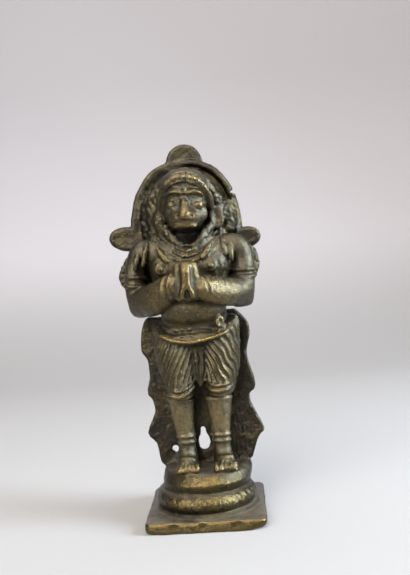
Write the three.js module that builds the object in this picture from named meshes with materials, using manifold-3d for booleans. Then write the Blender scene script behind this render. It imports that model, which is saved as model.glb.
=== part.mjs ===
// A small brass figure of Hanuman with joined hands, cast in one with its halo, back sheet and base.
// Millimetres, +Z up. The figure faces -Y, and the origin is the middle of the plinth's underside.
import * as THREE from "three";
import { LoftGeometry } from "three/addons/geometries/LoftGeometry.js";
import { mergeVertices } from "three/addons/utils/BufferGeometryUtils.js";
import Module from "manifold-3d";

// Square plinth
const PLINTH_WIDTH = 28.3;
const PLINTH_DEPTH = 28.3;
const PLINTH_THICKNESS = 2.5;
const PLINTH_CORNER = 1.6;
const PLINTH_BEVEL = 0.35;

// Round base: a step, a fat ring moulding and a drum, one above the other, set in from the plinth's edge.
// The ring is widest low down, and the drum leans a little to the right and back, as the casting's does.
const BASE_MARGIN = 1.85;
const STEP_HEIGHT = 1.1;
const RING_OVERHANG = 0.0;
const RING_HEIGHT = 4.0;
const RING_BULGE = 1.8;
const RING_BELLY = 0.38;
const RING_X = -0.3;
const DRUM_SETBACK = 1.35;
const DRUM_HEIGHT = 4.7;
const DRUM_ROUNDING = 1.2;
const DRUM_LEAN = [0.19, 0.17];
const GROOVE_DEPTH = 0.5;

// Figure: its height from the drum to the halo's top, and the castings behind it
const FIGURE_HEIGHT = 80.2;
const SHEET_THICKNESS = 1.6;
const HALO_THICKNESS = 1.7;
const HALO_RIM_LEFT = 3.2;
const HALO_RIM_RIGHT = 2.0;
const HALO_RIM_RISE = 0.7;
const LEAF_RISE = 0.3;

const STEP_RADIUS = Math.min(PLINTH_WIDTH, PLINTH_DEPTH) / 2 - BASE_MARGIN;
const RING_RADIUS = STEP_RADIUS + RING_OVERHANG;
const DRUM_RADIUS = STEP_RADIUS - DRUM_SETBACK;
const STEP_TOP = PLINTH_THICKNESS + STEP_HEIGHT;
const RING_TOP = STEP_TOP + RING_HEIGHT;
const DRUM_TOP = RING_TOP + DRUM_HEIGHT;
const SUNK = 0.3;
const ROUND_SIDES = 24;

// The figure is a free form: its points are shares of its height, counted up from the drum's top.
// One share is an eightieth of the figure, and the plates behind it start at these depths.
const SHARE = FIGURE_HEIGHT / 80;
const SHEET_FRONT = 1.2 * SHARE;
const SHEET_BACK = SHEET_FRONT + SHEET_THICKNESS;
const HALO_FRONT = 1.6 * SHARE;
const HALO_BACK = HALO_FRONT + HALO_THICKNESS;

const wasm = await Module();
wasm.setup();

// Geometry as a solid: corners that meet are merged, and faces that shrink to a line are left out.
function solid(geometry) {
  const bare = new THREE.BufferGeometry();
  bare.setAttribute("position", geometry.getAttribute("position"));
  bare.setIndex(geometry.index);
  const merged = mergeVertices(bare, 1e-4);
  const triVerts = [];
  for (let i = 0; i < merged.index.count; i += 3) {
    const corners = [0, 1, 2].map((k) => merged.index.getX(i + k));
    if (new Set(corners).size === 3) triVerts.push(...corners);
  }
  return new wasm.Manifold(
    new wasm.Mesh({
      numProp: 3,
      vertProperties: merged.attributes.position.array,
      triVerts: new Uint32Array(triVerts),
    }),
  );
}

// A piece of the figure, given in shares, as a solid standing on the drum.
function onDrum(geometry) {
  return solid(geometry.scale(SHARE, SHARE, SHARE).translate(0, 0, DRUM_TOP));
}

// An oval ring of points at one height, with its own depth in front of its axis and behind it. A sag lowers
// its front, a ripple swells or pinches it round the way, and a turn carries the ripple round.
function ovalRing({ x = 0, y, z, wide, front, back, sides, sag = 0, turn = 0, ripple = () => 1 }) {
  return Array.from({ length: sides }, (_, i) => {
    const step = (i / sides) * 2 * Math.PI;
    const angle = step + turn;
    const forward = -Math.sin(angle);
    const swell = ripple(step);
    return new THREE.Vector3(
      x + wide * swell * Math.cos(angle),
      y - (forward > 0 ? front : back) * swell * forward,
      z - sag * Math.max(0, forward),
    );
  });
}

// An upright body through oval rings, from the lowest to the highest.
function column(rings, sides) {
  const sections = rings.map((ring) => ovalRing({ sides, ...ring }));
  return new LoftGeometry(sections, { capStart: true, capEnd: true });
}

// A round body along a smooth path of stations { at: [x, y, z], radius }, with its ends buried in other
// pieces. Each ridge is a raised band round it, at a share of the way along.
const RIDGE_RISE = 0.4;
const RIDGE_HALF = 0.04;

function limb(stations, { sides, steps, ridges = [] }) {
  const path = new THREE.CatmullRomCurve3(stations.map(({ at }) => new THREE.Vector3(...at)));
  const radiusAt = (t) => {
    const place = t * (stations.length - 1);
    const k = Math.min(Math.floor(place), stations.length - 2);
    return THREE.MathUtils.lerp(stations[k].radius, stations[k + 1].radius, place - k);
  };
  const across = new THREE.Vector3(0, 1, 0.3);
  const ringAt = (t, radius) => {
    const along = path.getTangent(t);
    const centre = path.getPoint(t);
    across.addScaledVector(along, -across.dot(along)).normalize();
    const other = new THREE.Vector3().crossVectors(along, across);
    return Array.from({ length: sides }, (_, i) => {
      const angle = (i / sides) * 2 * Math.PI;
      return centre
        .clone()
        .addScaledVector(across, radius * Math.cos(angle))
        .addScaledVector(other, radius * Math.sin(angle));
    });
  };
  const plain = Array.from({ length: steps + 1 }, (_, i) => ({ t: i / steps, rise: 0 }));
  const places = plain.filter(({ t }) => ridges.every((ridge) => Math.abs(ridge - t) > RIDGE_HALF));
  for (const ridge of ridges) {
    places.push({ t: ridge - RIDGE_HALF, rise: 0 });
    places.push({ t: ridge, rise: RIDGE_RISE });
    places.push({ t: ridge + RIDGE_HALF, rise: 0 });
  }
  places.sort((a, b) => a.t - b.t);
  const sections = places.map(({ t, rise }) => ringAt(t, radiusAt(t) + rise));
  return new LoftGeometry(sections, { capStart: true, capEnd: true });
}

// A cord of one thickness along a smooth path of points.
function rope(points, radius, sides, steps) {
  const stations = points.map((at) => ({ at, radius }));
  return limb(stations, { sides, steps });
}

function ellipsoid([x, y, z], [rx, ry, rz], around = 7, down = 4) {
  return new THREE.SphereGeometry(1, around, down)
    .rotateX(Math.PI / 2)
    .scale(rx, ry, rz)
    .translate(x, y, z);
}

// An outline in X and Z as an upright plate between two depths.
function plate(shape, front, back) {
  const options = { depth: back - front, bevelEnabled: false, curveSegments: 5 };
  const geometry = new THREE.ExtrudeGeometry(shape, options);
  return solid(geometry.rotateX(Math.PI / 2).translate(0, back, 0));
}

// A point of a plate's outline, from shares of the figure's height.
function spot(x, z) {
  return new THREE.Vector2(x * SHARE, DRUM_TOP + z * SHARE);
}

function makePlinth() {
  const bevel = Math.min(PLINTH_BEVEL, PLINTH_THICKNESS / 3);
  const w = PLINTH_WIDTH / 2 - bevel;
  const d = PLINTH_DEPTH / 2 - bevel;
  const r = Math.max(PLINTH_CORNER - bevel, bevel);
  const outline = new THREE.Shape();
  outline.moveTo(w, d - r);
  outline.absarc(w - r, d - r, r, 0, Math.PI / 2);
  outline.absarc(r - w, d - r, r, Math.PI / 2, Math.PI);
  outline.absarc(r - w, r - d, r, Math.PI, 1.5 * Math.PI);
  outline.absarc(w - r, r - d, r, 1.5 * Math.PI, 2 * Math.PI);
  const geometry = new THREE.ExtrudeGeometry(outline, {
    depth: PLINTH_THICKNESS - 2 * bevel,
    bevelThickness: bevel,
    bevelSize: bevel,
    bevelSegments: 1,
    curveSegments: 3,
  });
  return solid(geometry.translate(0, 0, bevel));
}

function makeRing() {
  const belly = STEP_TOP + RING_BELLY * RING_HEIGHT;
  const core = RING_RADIUS - RING_BULGE;
  const profile = new THREE.Path();
  profile.moveTo(0, STEP_TOP - SUNK);
  profile.lineTo(core, STEP_TOP - SUNK);
  profile.absellipse(core, belly, RING_BULGE, belly - STEP_TOP, -0.4 * Math.PI, 0);
  profile.absellipse(core, belly, RING_BULGE, RING_TOP - belly, 0, 0.46 * Math.PI);
  profile.lineTo(0, RING_TOP);
  const geometry = new THREE.LatheGeometry(profile.getPoints(2), ROUND_SIDES);
  return solid(geometry.rotateX(Math.PI / 2).translate(RING_X, 0, 0));
}

// The drum, lathed on its own foot and then sheared so that it leans.
function makeDrum() {
  const rounding = Math.min(DRUM_ROUNDING, DRUM_HEIGHT - GROOVE_DEPTH);
  const profile = new THREE.Path();
  profile.moveTo(0, -SUNK);
  profile.lineTo(DRUM_RADIUS - GROOVE_DEPTH, -SUNK);
  profile.lineTo(DRUM_RADIUS - GROOVE_DEPTH, 0);
  profile.lineTo(DRUM_RADIUS, 2 * GROOVE_DEPTH);
  profile.absarc(DRUM_RADIUS - rounding, DRUM_HEIGHT - rounding, rounding, 0, Math.PI / 2);
  profile.lineTo(0, DRUM_HEIGHT);
  const geometry = new THREE.LatheGeometry(profile.getPoints(2), ROUND_SIDES);
  const lean = new THREE.Matrix4().makeShear(0, 0, 0, 0, ...DRUM_LEAN);
  return solid(geometry.rotateX(Math.PI / 2).applyMatrix4(lean).translate(0, 0, RING_TOP));
}

function makeRoundBase() {
  const profile = new THREE.Path();
  profile.moveTo(0, PLINTH_THICKNESS - SUNK);
  profile.lineTo(STEP_RADIUS, PLINTH_THICKNESS - SUNK);
  profile.lineTo(STEP_RADIUS, STEP_TOP - GROOVE_DEPTH);
  profile.lineTo(STEP_RADIUS - 2 * GROOVE_DEPTH, STEP_TOP);
  profile.lineTo(0, STEP_TOP);
  const step = new THREE.LatheGeometry(profile.getPoints(2), ROUND_SIDES);
  return solid(step.rotateX(Math.PI / 2)).add(makeRing()).add(makeDrum());
}

// Halo: an oval plate with a raised rim, a round crest and a leaf at each side. Its right edge is chipped.
const HALO = { x: -0.6, z: 57, wide: 14.2, high: 19, power: 2.3 };
const HALO_FROM = -50;
const HALO_TO = 230;
const HALO_STEPS = 26;

// The outline, or a line within it at a share of the rim's width. The rim is broader on the left.
function haloOutline(share) {
  return Array.from({ length: HALO_STEPS + 1 }, (_, i) => {
    const degrees = THREE.MathUtils.lerp(HALO_FROM, HALO_TO, i / HALO_STEPS);
    const cos = Math.cos(THREE.MathUtils.degToRad(degrees));
    const sin = Math.sin(THREE.MathUtils.degToRad(degrees));
    const reach = (Math.abs(cos) ** HALO.power + Math.abs(sin) ** HALO.power) ** (-1 / HALO.power);
    const inset = share * THREE.MathUtils.mapLinear(cos, -1, 1, HALO_RIM_LEFT, HALO_RIM_RIGHT);
    const across = (HALO.wide * SHARE - inset) * reach * cos;
    const up = (HALO.high * SHARE - inset) * reach * sin;
    return spot(HALO.x, HALO.z).add(new THREE.Vector2(across, up));
  });
}

function makeLeaf({ x, z, wide, high, tilt }) {
  const middle = spot(x, z);
  const outline = new THREE.Shape();
  outline.absellipse(middle.x, middle.y, wide * SHARE, high * SHARE, 0, 2 * Math.PI, false, tilt);
  return plate(outline, HALO_FRONT - LEAF_RISE, HALO_BACK);
}

function makeHalo() {
  const rim = new THREE.Shape(haloOutline(0));
  rim.holes.push(new THREE.Path(haloOutline(1).toReversed()));
  const chip = new THREE.Shape([spot(11.0, 66.6), spot(14, 66.2), spot(14, 67.4), spot(11.2, 67.2)]);
  return plate(new THREE.Shape(haloOutline(0)), HALO_FRONT, HALO_BACK)
    .add(plate(rim, HALO_FRONT - HALO_RIM_RISE, (HALO_FRONT + HALO_BACK) / 2))
    .subtract(plate(chip, HALO_FRONT - 2 * HALO_RIM_RISE, HALO_BACK + SUNK))
    .add(makeLeaf({ x: 0, z: 75.3, wide: 4.7, high: 5.0, tilt: 0 }))
    .add(makeLeaf({ x: -16.0, z: 57.0, wide: 4.6, high: 3.1, tilt: -0.15 }))
    .add(makeLeaf({ x: 14.4, z: 55.2, wide: 3.6, high: 2.7, tilt: 0.1 }));
}

// Back sheet: a mantle that hangs behind the figure in flared tiers, from the hips to the drum. The casting
// has a pear-shaped hole between the ankles and a pinhole beside the left one.
const SHEET_LEFT = [
  [-9.9, 36.8], [-12.4, 36.7], [-13.9, 33.4], [-14.3, 28.4], [-12.9, 26.2], [-12.7, 21.8],
  [-13.4, 17.6], [-12.4, 16.0], [-11.9, 12.9], [-14.1, 7.8], [-12.1, 5.0], [-11.2, 0.3],
];
const SHEET_RIGHT = [
  [11.8, 0.3], [13.6, 5.2], [15.2, 7.4], [12.8, 12.7], [12.1, 16.0], [13.8, 18.1],
  [12.5, 24.4], [12.3, 27.3], [13.4, 31.6], [12.8, 34.6], [10.0, 37.6],
];
const SHEET_FOOT = [[-10.0, -0.9], [10.0, -0.9]];
const PEAR_NECK = [[-0.8, 8.2], [0.5, 8.2], [0.6, 5.4], [-0.9, 5.4]];
const PINHOLE = [[-8.3, 3.2], [-7.2, 2.3], [-6.4, 3.4], [-7.0, 4.2], [-8.0, 4.2]];

function makeSheet() {
  const spots = (points) => points.map(([x, z]) => spot(x, z));
  const edge = (points) => new THREE.SplineCurve(spots(points)).getPoints(16);
  const outline = [...edge(SHEET_LEFT), ...spots(SHEET_FOOT), ...edge(SHEET_RIGHT)];
  const pear = new THREE.Shape();
  pear.absellipse(0, spot(0, 4.6).y, 1.4 * SHARE, 1.8 * SHARE, 0, 2 * Math.PI);
  const holes = [pear, new THREE.Shape(spots(PEAR_NECK)), new THREE.Shape(spots(PINHOLE))];
  return holes.reduce(
    (sheet, hole) => sheet.subtract(plate(hole, SHEET_FRONT - SUNK, SHEET_BACK + SUNK)),
    plate(new THREE.Shape(outline), SHEET_FRONT, SHEET_BACK),
  );
}

// Legs: a shin with a garter below the knee and a double anklet, all grown onto the back sheet.
const SHIN = [
  { z: 1.0, wide: 2.0, front: 1.9 },
  { z: 3.4, wide: 1.8, front: 1.8 },
  { z: 5.6, wide: 1.5, front: 1.5 },
  { z: 6.2, wide: 1.95, front: 2.0 },
  { z: 6.9, wide: 1.55, front: 1.6 },
  { z: 7.6, wide: 1.95, front: 2.0 },
  { z: 8.3, wide: 1.65, front: 1.7 },
  { z: 12.0, wide: 2.3, front: 2.2 },
  { z: 15.7, wide: 2.7, front: 2.6 },
  { z: 16.3, wide: 2.95, front: 2.9 },
  { z: 16.9, wide: 2.6, front: 2.5 },
  { z: 19.0, wide: 2.2, front: 2.2 },
];

// Each leg's place across the figure, its row of toes, and its thigh's rings from the hem up to the hip.
const LEGS = [
  {
    side: -1,
    ankle: -3.8,
    knee: -4.3,
    toes: -3.95,
    toeRow: -3.3,
    toePitch: 0.95,
    thigh: [
      { z: 18.7, x: -4.3, wide: 3.3, front: 4.9 },
      { z: 20.8, x: -4.45, wide: 3.5, front: 4.9 },
      { z: 24.0, x: -4.8, wide: 4.3, front: 4.9 },
      { z: 29.5, x: -5.0, wide: 5.0, front: 5.1 },
      { z: 31.9, x: -5.2, wide: 4.7, front: 4.6 },
      { z: 34.0, x: -6.0, wide: 3.7, front: 3.9 },
      { z: 35.6, x: -6.8, wide: 2.4, front: 2.6 },
    ],
  },
  {
    side: 1,
    ankle: 4.7,
    knee: 4.85,
    toes: 5.5,
    toeRow: 5.4,
    toePitch: 1.15,
    thigh: [
      { z: 19.2, x: 5.1, wide: 3.5, front: 4.9 },
      { z: 21.3, x: 5.15, wide: 3.75, front: 4.9 },
      { z: 24.0, x: 5.3, wide: 4.6, front: 4.9 },
      { z: 29.5, x: 5.2, wide: 5.1, front: 5.1 },
      { z: 32.0, x: 5.4, wide: 5.1, front: 4.8 },
      { z: 34.5, x: 6.2, wide: 4.4, front: 4.3 },
      { z: 36.3, x: 7.3, wide: 2.8, front: 3.0 },
    ],
  },
];

function makeShin({ ankle, knee }) {
  const [low, high] = [SHIN[0].z, SHIN.at(-1).z];
  const rings = SHIN.map((ring) => ({
    ...ring,
    x: THREE.MathUtils.mapLinear(ring.z, low, high, ankle, knee),
    y: -2.8,
    back: 4.5,
  }));
  return onDrum(column(rings, 9));
}

// A foot: half rings that stand on the drum from heel to toes, with five toes in front.
const FOOT = [
  { y: 1.0, wide: 1.6, high: 3.0 },
  { y: -1.0, wide: 2.2, high: 4.6 },
  { y: -3.0, wide: 2.5, high: 4.5 },
  { y: -5.0, wide: 2.65, high: 3.5 },
  { y: -6.6, wide: 2.75, high: 2.5 },
  { y: -8.0, wide: 2.75, high: 1.6 },
  { y: -8.8, wide: 2.4, high: 0.9 },
];

const TOES = 5;

function makeFoot({ side, ankle, toes, toeRow, toePitch }) {
  const [heel, tip] = [FOOT[0].y, FOOT.at(-1).y];
  const sections = FOOT.map(({ y, wide, high }) => {
    const x = THREE.MathUtils.mapLinear(y, heel, tip, ankle, toes);
    return Array.from({ length: 7 }, (_, i) => {
      const angle = (i / 6) * Math.PI;
      const rise = (high + SUNK) * Math.sin(angle) ** 0.8;
      return new THREE.Vector3(x + wide * Math.cos(angle), y, rise - SUNK);
    });
  });
  const pieces = [new LoftGeometry(sections, { capStart: true, capEnd: true })];
  for (let toe = 0; toe < TOES; toe++) {
    const size = toePitch * (0.78 - 0.05 * toe);
    const x = toeRow + side * toePitch * (toe - 2);
    pieces.push(ellipsoid([x, tip + 0.14 * toe, 0.45], [size * 0.8, 1.0, size], 5, 3));
  }
  return pieces.map(onDrum);
}

// Breeches: each thigh is ringed by pleats that wind down and outwards to a ribbed hem above the knee.
const PLEATS = 13;
const PLEAT_TWIST = 0.115;
const PLEAT_DEPTH = 0.065;
const HEM_SAG = 2.0;
const HEM = [
  { rise: 0.0, swell: 0.92 },
  { rise: 0.5, swell: 1.07 },
  { rise: 1.1, swell: 0.98 },
  { rise: 1.7, swell: 1.05 },
  { rise: 2.2, swell: 0.97 },
];
const PLEATED = [22.4, 25.4, 28.4, 31.4];

// A value of a list of rings at any height between them.
function between(rings, z, key) {
  const above = Math.max(1, rings.findIndex((ring) => ring.z >= z));
  const [low, high] = [rings[above - 1], rings[above]];
  return THREE.MathUtils.mapLinear(z, low.z, high.z, low[key], high[key]);
}

function makeThigh({ side, thigh }) {
  const hem = thigh[0].z;
  const ringAt = (z, swell, depth) => ({
    x: between(thigh, z, "x"),
    y: -3,
    z,
    wide: between(thigh, z, "wide") * swell,
    front: between(thigh, z, "front") * swell,
    back: 4.9,
    sag: HEM_SAG,
    turn: -side * PLEAT_TWIST * (z - hem),
    ripple: (step) => 1 + depth * Math.cos(PLEATS * step),
  });
  const rings = HEM.map(({ rise, swell }) => ringAt(hem + rise, swell, 0));
  rings.push(...PLEATED.map((z) => ringAt(z, 1, PLEAT_DEPTH)));
  rings.push(ringAt(thigh.at(-2).z, 1, PLEAT_DEPTH / 2));
  rings.push(ringAt(thigh.at(-1).z, 0.9, 0));
  return onDrum(column(rings, 2 * PLEATS));
}

// The front fold that hangs between the thighs, narrowing downwards, with ridges down it.
const FRONT_FOLD = [
  { z: 19.4, wide: 0.5, front: 0.9 },
  { z: 21.5, wide: 1.15, front: 1.9 },
  { z: 25.0, wide: 1.65, front: 2.9 },
  { z: 31.0, wide: 2.0, front: 4.2 },
];

function makeFrontFold() {
  const ripple = (step) => 1 + 0.16 * Math.cos(6 * step);
  const rings = FRONT_FOLD.map((ring) => ({ ...ring, x: 0.2, y: -4.2, back: 5.8, ripple }));
  return onDrum(column(rings, 12));
}

// Trunk: hips, belt, the hollow above it, round belly, chest and shoulders.
const TRUNK = [
  { z: 29.0, wide: 9.2, front: 4.4 },
  { z: 30.6, wide: 9.4, front: 6.0 },
  { z: 31.6, wide: 9.2, front: 6.2 },
  { z: 32.6, wide: 8.5, front: 5.4 },
  { z: 33.9, wide: 8.1, front: 5.3 },
  { z: 36.2, wide: 8.1, front: 7.5 },
  { z: 38.4, wide: 8.3, front: 8.4 },
  { z: 40.5, wide: 8.3, front: 7.8 },
  { z: 42.8, wide: 8.5, front: 6.2 },
  { z: 45.5, wide: 9.4, front: 5.4 },
  { z: 48.5, wide: 10.3, front: 5.5 },
  { z: 51.5, wide: 10.9, front: 4.8 },
  { z: 53.8, wide: 10.3, front: 3.7 },
  { z: 55.3, wide: 7.6, front: 2.9 },
  { z: 57.0, wide: 4.3, front: 2.6 },
];

function makeTrunk() {
  const rings = TRUNK.map((ring) => ({ ...ring, y: -2.2, back: 5.0 }));
  const belt = Array.from({ length: 9 }, (_, i) => {
    const angle = THREE.MathUtils.degToRad(12 + 19.5 * i);
    return [9.2 * Math.cos(angle), -2.2 - 7.0 * Math.sin(angle), 31.9 - 1.4 * Math.sin(angle)];
  });
  const knot = ellipsoid([6.4, -7.2, 34.8], [1.1, 0.9, 1.5]);
  const bosses = [-6.2, 5.3].map((x) => ellipsoid([x, -7.2, 48.7], [1.3, 0.9, 1.3]));
  return [column(rings, 15), rope(belt, 0.55, 4, 10), knot, ...bosses].map(onDrum);
}

// Arms: shoulder, ringed upper arm and elbow, and a forearm, taller than deep, with bangles at the hands.
const LEFT_UPPER_ARM = [
  { at: [-6.0, -2.0, 52.6], radius: 2.4 },
  { at: [-9.5, -1.6, 53.3], radius: 2.9 },
  { at: [-12.0, -1.5, 52.6], radius: 3.0 },
  { at: [-13.5, -1.3, 50.0], radius: 2.65 },
  { at: [-13.8, -1.6, 47.3], radius: 2.7 },
  { at: [-13.9, -2.0, 44.5], radius: 2.6 },
  { at: [-13.6, -2.6, 42.0], radius: 2.6 },
  { at: [-12.8, -3.6, 41.0], radius: 2.6 },
];
const LEFT_FOREARM = [
  { at: [-13.2, -3.2, 40.4], radius: 2.55 },
  { at: [-11.4, -4.9, 40.9], radius: 2.75 },
  { at: [-8.4, -7.6, 41.6], radius: 2.95 },
  { at: [-6.3, -9.6, 42.7], radius: 2.75 },
  { at: [-4.6, -11.0, 43.6], radius: 2.3 },
  { at: [-2.5, -12.2, 44.2], radius: 1.9 },
];
const RIGHT_UPPER_ARM = [
  { at: [6.0, -2.0, 52.6], radius: 2.4 },
  { at: [9.3, -1.6, 53.3], radius: 2.9 },
  { at: [11.8, -1.5, 52.6], radius: 3.0 },
  { at: [12.8, -1.3, 50.0], radius: 2.8 },
  { at: [13.0, -1.8, 47.2], radius: 2.75 },
  { at: [12.9, -2.4, 44.8], radius: 2.7 },
  { at: [12.4, -3.4, 42.8], radius: 2.9 },
  { at: [11.4, -5.0, 42.0], radius: 2.9 },
];
const RIGHT_FOREARM = [
  { at: [12.3, -3.6, 41.5], radius: 2.45 },
  { at: [11.2, -5.2, 41.4], radius: 2.5 },
  { at: [9.0, -7.4, 41.5], radius: 2.45 },
  { at: [7.0, -9.1, 41.9], radius: 2.4 },
  { at: [5.2, -10.7, 42.6], radius: 2.25 },
  { at: [3.6, -11.8, 43.3], radius: 2.0 },
  { at: [2.4, -12.4, 44.0], radius: 1.8 },
];
const FOREARM_DEPTH = 0.74;

// The right elbow is squarish.
const ELBOW = [
  { z: 38.1, wide: 2.3, front: 2.1 },
  { z: 39.0, wide: 2.8, front: 2.7 },
  { z: 44.0, wide: 2.9, front: 2.8 },
  { z: 45.2, wide: 2.5, front: 2.4 },
];

function makeUpperArm(stations, ridges) {
  return onDrum(limb(stations, { sides: 8, steps: 7, ridges }));
}

function makeForearm(stations, ridges) {
  const pressed = stations.map(({ at: [x, y, z], radius }) => ({ at: [x, y, z * FOREARM_DEPTH], radius }));
  const geometry = limb(pressed, { sides: 8, steps: 5, ridges });
  return onDrum(geometry.scale(1, 1, 1 / FOREARM_DEPTH));
}

function makeElbow() {
  return onDrum(column(ELBOW.map((ring) => ({ ...ring, x: 12.0, y: -2.9, back: 2.0 })), 8));
}

// Hands: pressed together, with the thumbs' side in front and the backs of the hands behind it. Below, they
// part like an upturned V.
const PALM_EDGE = [
  { z: 40.8, wide: 1.75, front: 1.9 },
  { z: 43.0, wide: 1.6, front: 2.1 },
  { z: 46.4, wide: 1.4, front: 2.3 },
  { z: 47.8, wide: 1.25, front: 1.9 },
  { z: 49.2, wide: 0.8, front: 0.6 },
];
const HAND_BACKS = [
  { z: 40.2, wide: 2.6, front: 1.9 },
  { z: 42.5, wide: 2.95, front: 2.3 },
  { z: 46.4, wide: 2.9, front: 2.3 },
  { z: 48.0, wide: 2.5, front: 1.9 },
  { z: 49.0, wide: 1.6, front: 1.1 },
];
const HANDS_MIDDLE = -0.2;

function makeHands() {
  const rings = (list, y) => list.map((ring) => ({ ...ring, x: HANDS_MIDDLE, y, back: 2.5 }));
  const parting = ellipsoid([HANDS_MIDDLE, -15.0, 40.4], [0.9, 1.9, 2.4], 8, 6);
  return onDrum(column(rings(HAND_BACKS, -11.4), 10))
    .add(onDrum(column(rings(PALM_EDGE, -12.9), 8)))
    .subtract(onDrum(parting));
}

// Neck and head: a long monkey face under a headband, framed by a roll of hair and ear discs.
const NECK = [
  { z: 52.0, wide: 4.2, front: 3.4 },
  { z: 58.5, wide: 3.9, front: 3.4 },
];
const HEAD = [
  { z: 57.0, x: -0.2, wide: 2.4, front: 3.0 },
  { z: 58.2, x: -0.2, wide: 3.7, front: 4.4 },
  { z: 59.8, x: -0.2, wide: 4.6, front: 5.2 },
  { z: 62.0, x: -0.2, wide: 5.3, front: 5.4 },
  { z: 64.0, x: 0.0, wide: 5.6, front: 5.4 },
  { z: 66.2, x: 0.1, wide: 5.8, front: 5.7 },
  { z: 68.4, x: 0.1, wide: 5.9, front: 5.5 },
  { z: 70.2, x: 0.1, wide: 5.3, front: 4.8 },
  { z: 71.4, x: 0.1, wide: 4.2, front: 3.8 },
  { z: 72.2, x: 0.1, wide: 2.6, front: 2.2 },
];
const MUZZLE = [
  { z: 57.2, wide: 2.0, front: 2.4 },
  { z: 57.9, wide: 3.2, front: 3.8 },
  { z: 59.2, wide: 3.9, front: 4.5 },
  { z: 61.2, wide: 3.7, front: 4.0 },
  { z: 64.4, wide: 2.0, front: 2.0 },
];
const NOSE = [
  { at: [0.3, -8.3, 65.2], radius: 0.7 },
  { at: [0.3, -9.5, 62.6], radius: 1.0 },
  { at: [0.3, -10.6, 60.4], radius: 1.4 },
];
const FACE_MIDDLE = 0.3;

function makeHead() {
  const skull = HEAD.map((ring) => ({ ...ring, y: -3.2, back: 5.0 }));
  const neck = NECK.map((ring) => ({ ...ring, y: -2.8, back: 4.6 }));
  const muzzle = MUZZLE.map((ring) => ({ ...ring, y: -6.4, back: 3.0 }));
  const pieces = [
    column(neck, 9),
    column(skull, 13),
    column(muzzle, 10),
    limb(NOSE, { sides: 6, steps: 3 }),
  ];
  for (const side of [-1, 1]) {
    const beside = (x, y, z) => [FACE_MIDDLE + side * x, y, z];
    const brow = [beside(4.5, -7.2, 65.4), beside(2.4, -8.7, 66.0), beside(0.5, -8.8, 65.7)];
    pieces.push(
      ellipsoid(beside(2.9, -8.0, 63.6), [1.3, 0.8, 0.8]),
      ellipsoid(beside(3.3, -6.4, 61.3), [1.9, 1.7, 2.2]),
      ellipsoid([side * 7.6, -2.8, 60.5], [1.5, 1.3, 2.2]),
      rope(brow, 0.5, 4, 2),
    );
  }
  return pieces.map(onDrum);
}

// Headband: an arched diadem over the brow, and the roll of hair round the head behind it.
function arch({ wide, low, high, y, lean, radius }) {
  const points = Array.from({ length: 10 }, (_, i) => {
    const angle = (i / 9) * Math.PI;
    const up = Math.sin(angle);
    return [wide * Math.cos(angle), y + lean * up, low + (high - low) * up ** 0.9];
  });
  return rope(points, radius, 6, 10);
}

function makeHeadband() {
  return [
    arch({ wide: 6.25, low: 62.8, high: 69.5, y: -3.6, lean: -5.1, radius: 1.05 }),
    arch({ wide: 7.7, low: 60.6, high: 71.7, y: -1.2, lean: -3.4, radius: 1.1 }),
  ].map(onDrum);
}

// Necklaces: two cords that hang from the shoulders in a deep curve over the chest.
function necklace({ wide, high, low, y }) {
  const side = (x) => [x, y + 1.5, high - 0.58 * (high - low)];
  const points = [[-wide, -2, high], side(-0.62 * wide), [0, y, low], side(0.62 * wide), [wide, -2, high]];
  return rope(points, 0.6, 4, 7);
}

// Ties over the shoulders, and the lappets that hang outside the arms.
const TIES = [
  { x: -12.7, low: 48.6, high: 53.6 },
  { x: -10.9, low: 49.2, high: 54.4 },
  { x: 8.9, low: 49.8, high: 54.6 },
  { x: 10.8, low: 49.2, high: 53.8 },
];
const LAPPETS = [
  [[-14.2, 0.5, 53.6], [-16.2, 0.2, 50.6], [-17.4, 0.0, 47.6], [-17.2, -0.2, 45.6]],
  [[13.8, 0.5, 53.4], [15.6, 0.3, 51.4], [16.2, 0.1, 48.6], [15.9, -0.1, 46.6]],
];

function makeTrimmings() {
  const tie = ({ x, low, high }) => {
    const points = [[x, -4.4, low], [x, -4.8, (low + high) / 2], [x + 0.1, -3.7, high]];
    return rope(points, 0.6, 4, 2);
  };
  return [
    necklace({ wide: 6.8, high: 56.6, low: 52.2, y: -7.3 }),
    necklace({ wide: 8.9, high: 55.4, low: 49.5, y: -7.8 }),
    ...TIES.map(tie),
    ...LAPPETS.map((points) => rope(points, 0.85, 5, 3)),
  ].map(onDrum);
}

// The tail lies on the back, from the sheet up over the halo to its crest.
function makeTail() {
  const [onSheet, onHalo] = [SHEET_BACK / SHARE, HALO_BACK / SHARE];
  const stations = [
    { at: [0.0, onSheet, 29.5], radius: 1.3 },
    { at: [1.4, onSheet + 0.3, 35.0], radius: 1.2 },
    { at: [2.2, (onSheet + onHalo) / 2, 43.0], radius: 1.1 },
    { at: [1.6, onHalo, 52.0], radius: 1.0 },
    { at: [0.0, onHalo, 62.0], radius: 0.9 },
    { at: [-1.4, onHalo, 69.0], radius: 0.8 },
    { at: [-0.6, onHalo, 73.4], radius: 0.8 },
  ];
  return onDrum(limb(stations, { sides: 5, steps: 7 }));
}

function makeFigure() {
  const pieces = [
    makePlinth(),
    makeRoundBase(),
    makeHalo(),
    makeSheet(),
    ...LEGS.flatMap((leg) => [makeShin(leg), ...makeFoot(leg), makeThigh(leg)]),
    makeFrontFold(),
    ...makeTrunk(),
    makeUpperArm(LEFT_UPPER_ARM, [0.575, 0.68]),
    makeUpperArm(RIGHT_UPPER_ARM, [0.585, 0.68]),
    makeForearm(LEFT_FOREARM, [0.75, 0.89]),
    makeForearm(RIGHT_FOREARM, [0.78, 0.91]),
    makeElbow(),
    makeHands(),
    ...makeHead(),
    ...makeHeadband(),
    ...makeTrimmings(),
    makeTail(),
  ];
  return pieces.reduce((whole, piece) => whole.add(piece));
}

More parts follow.
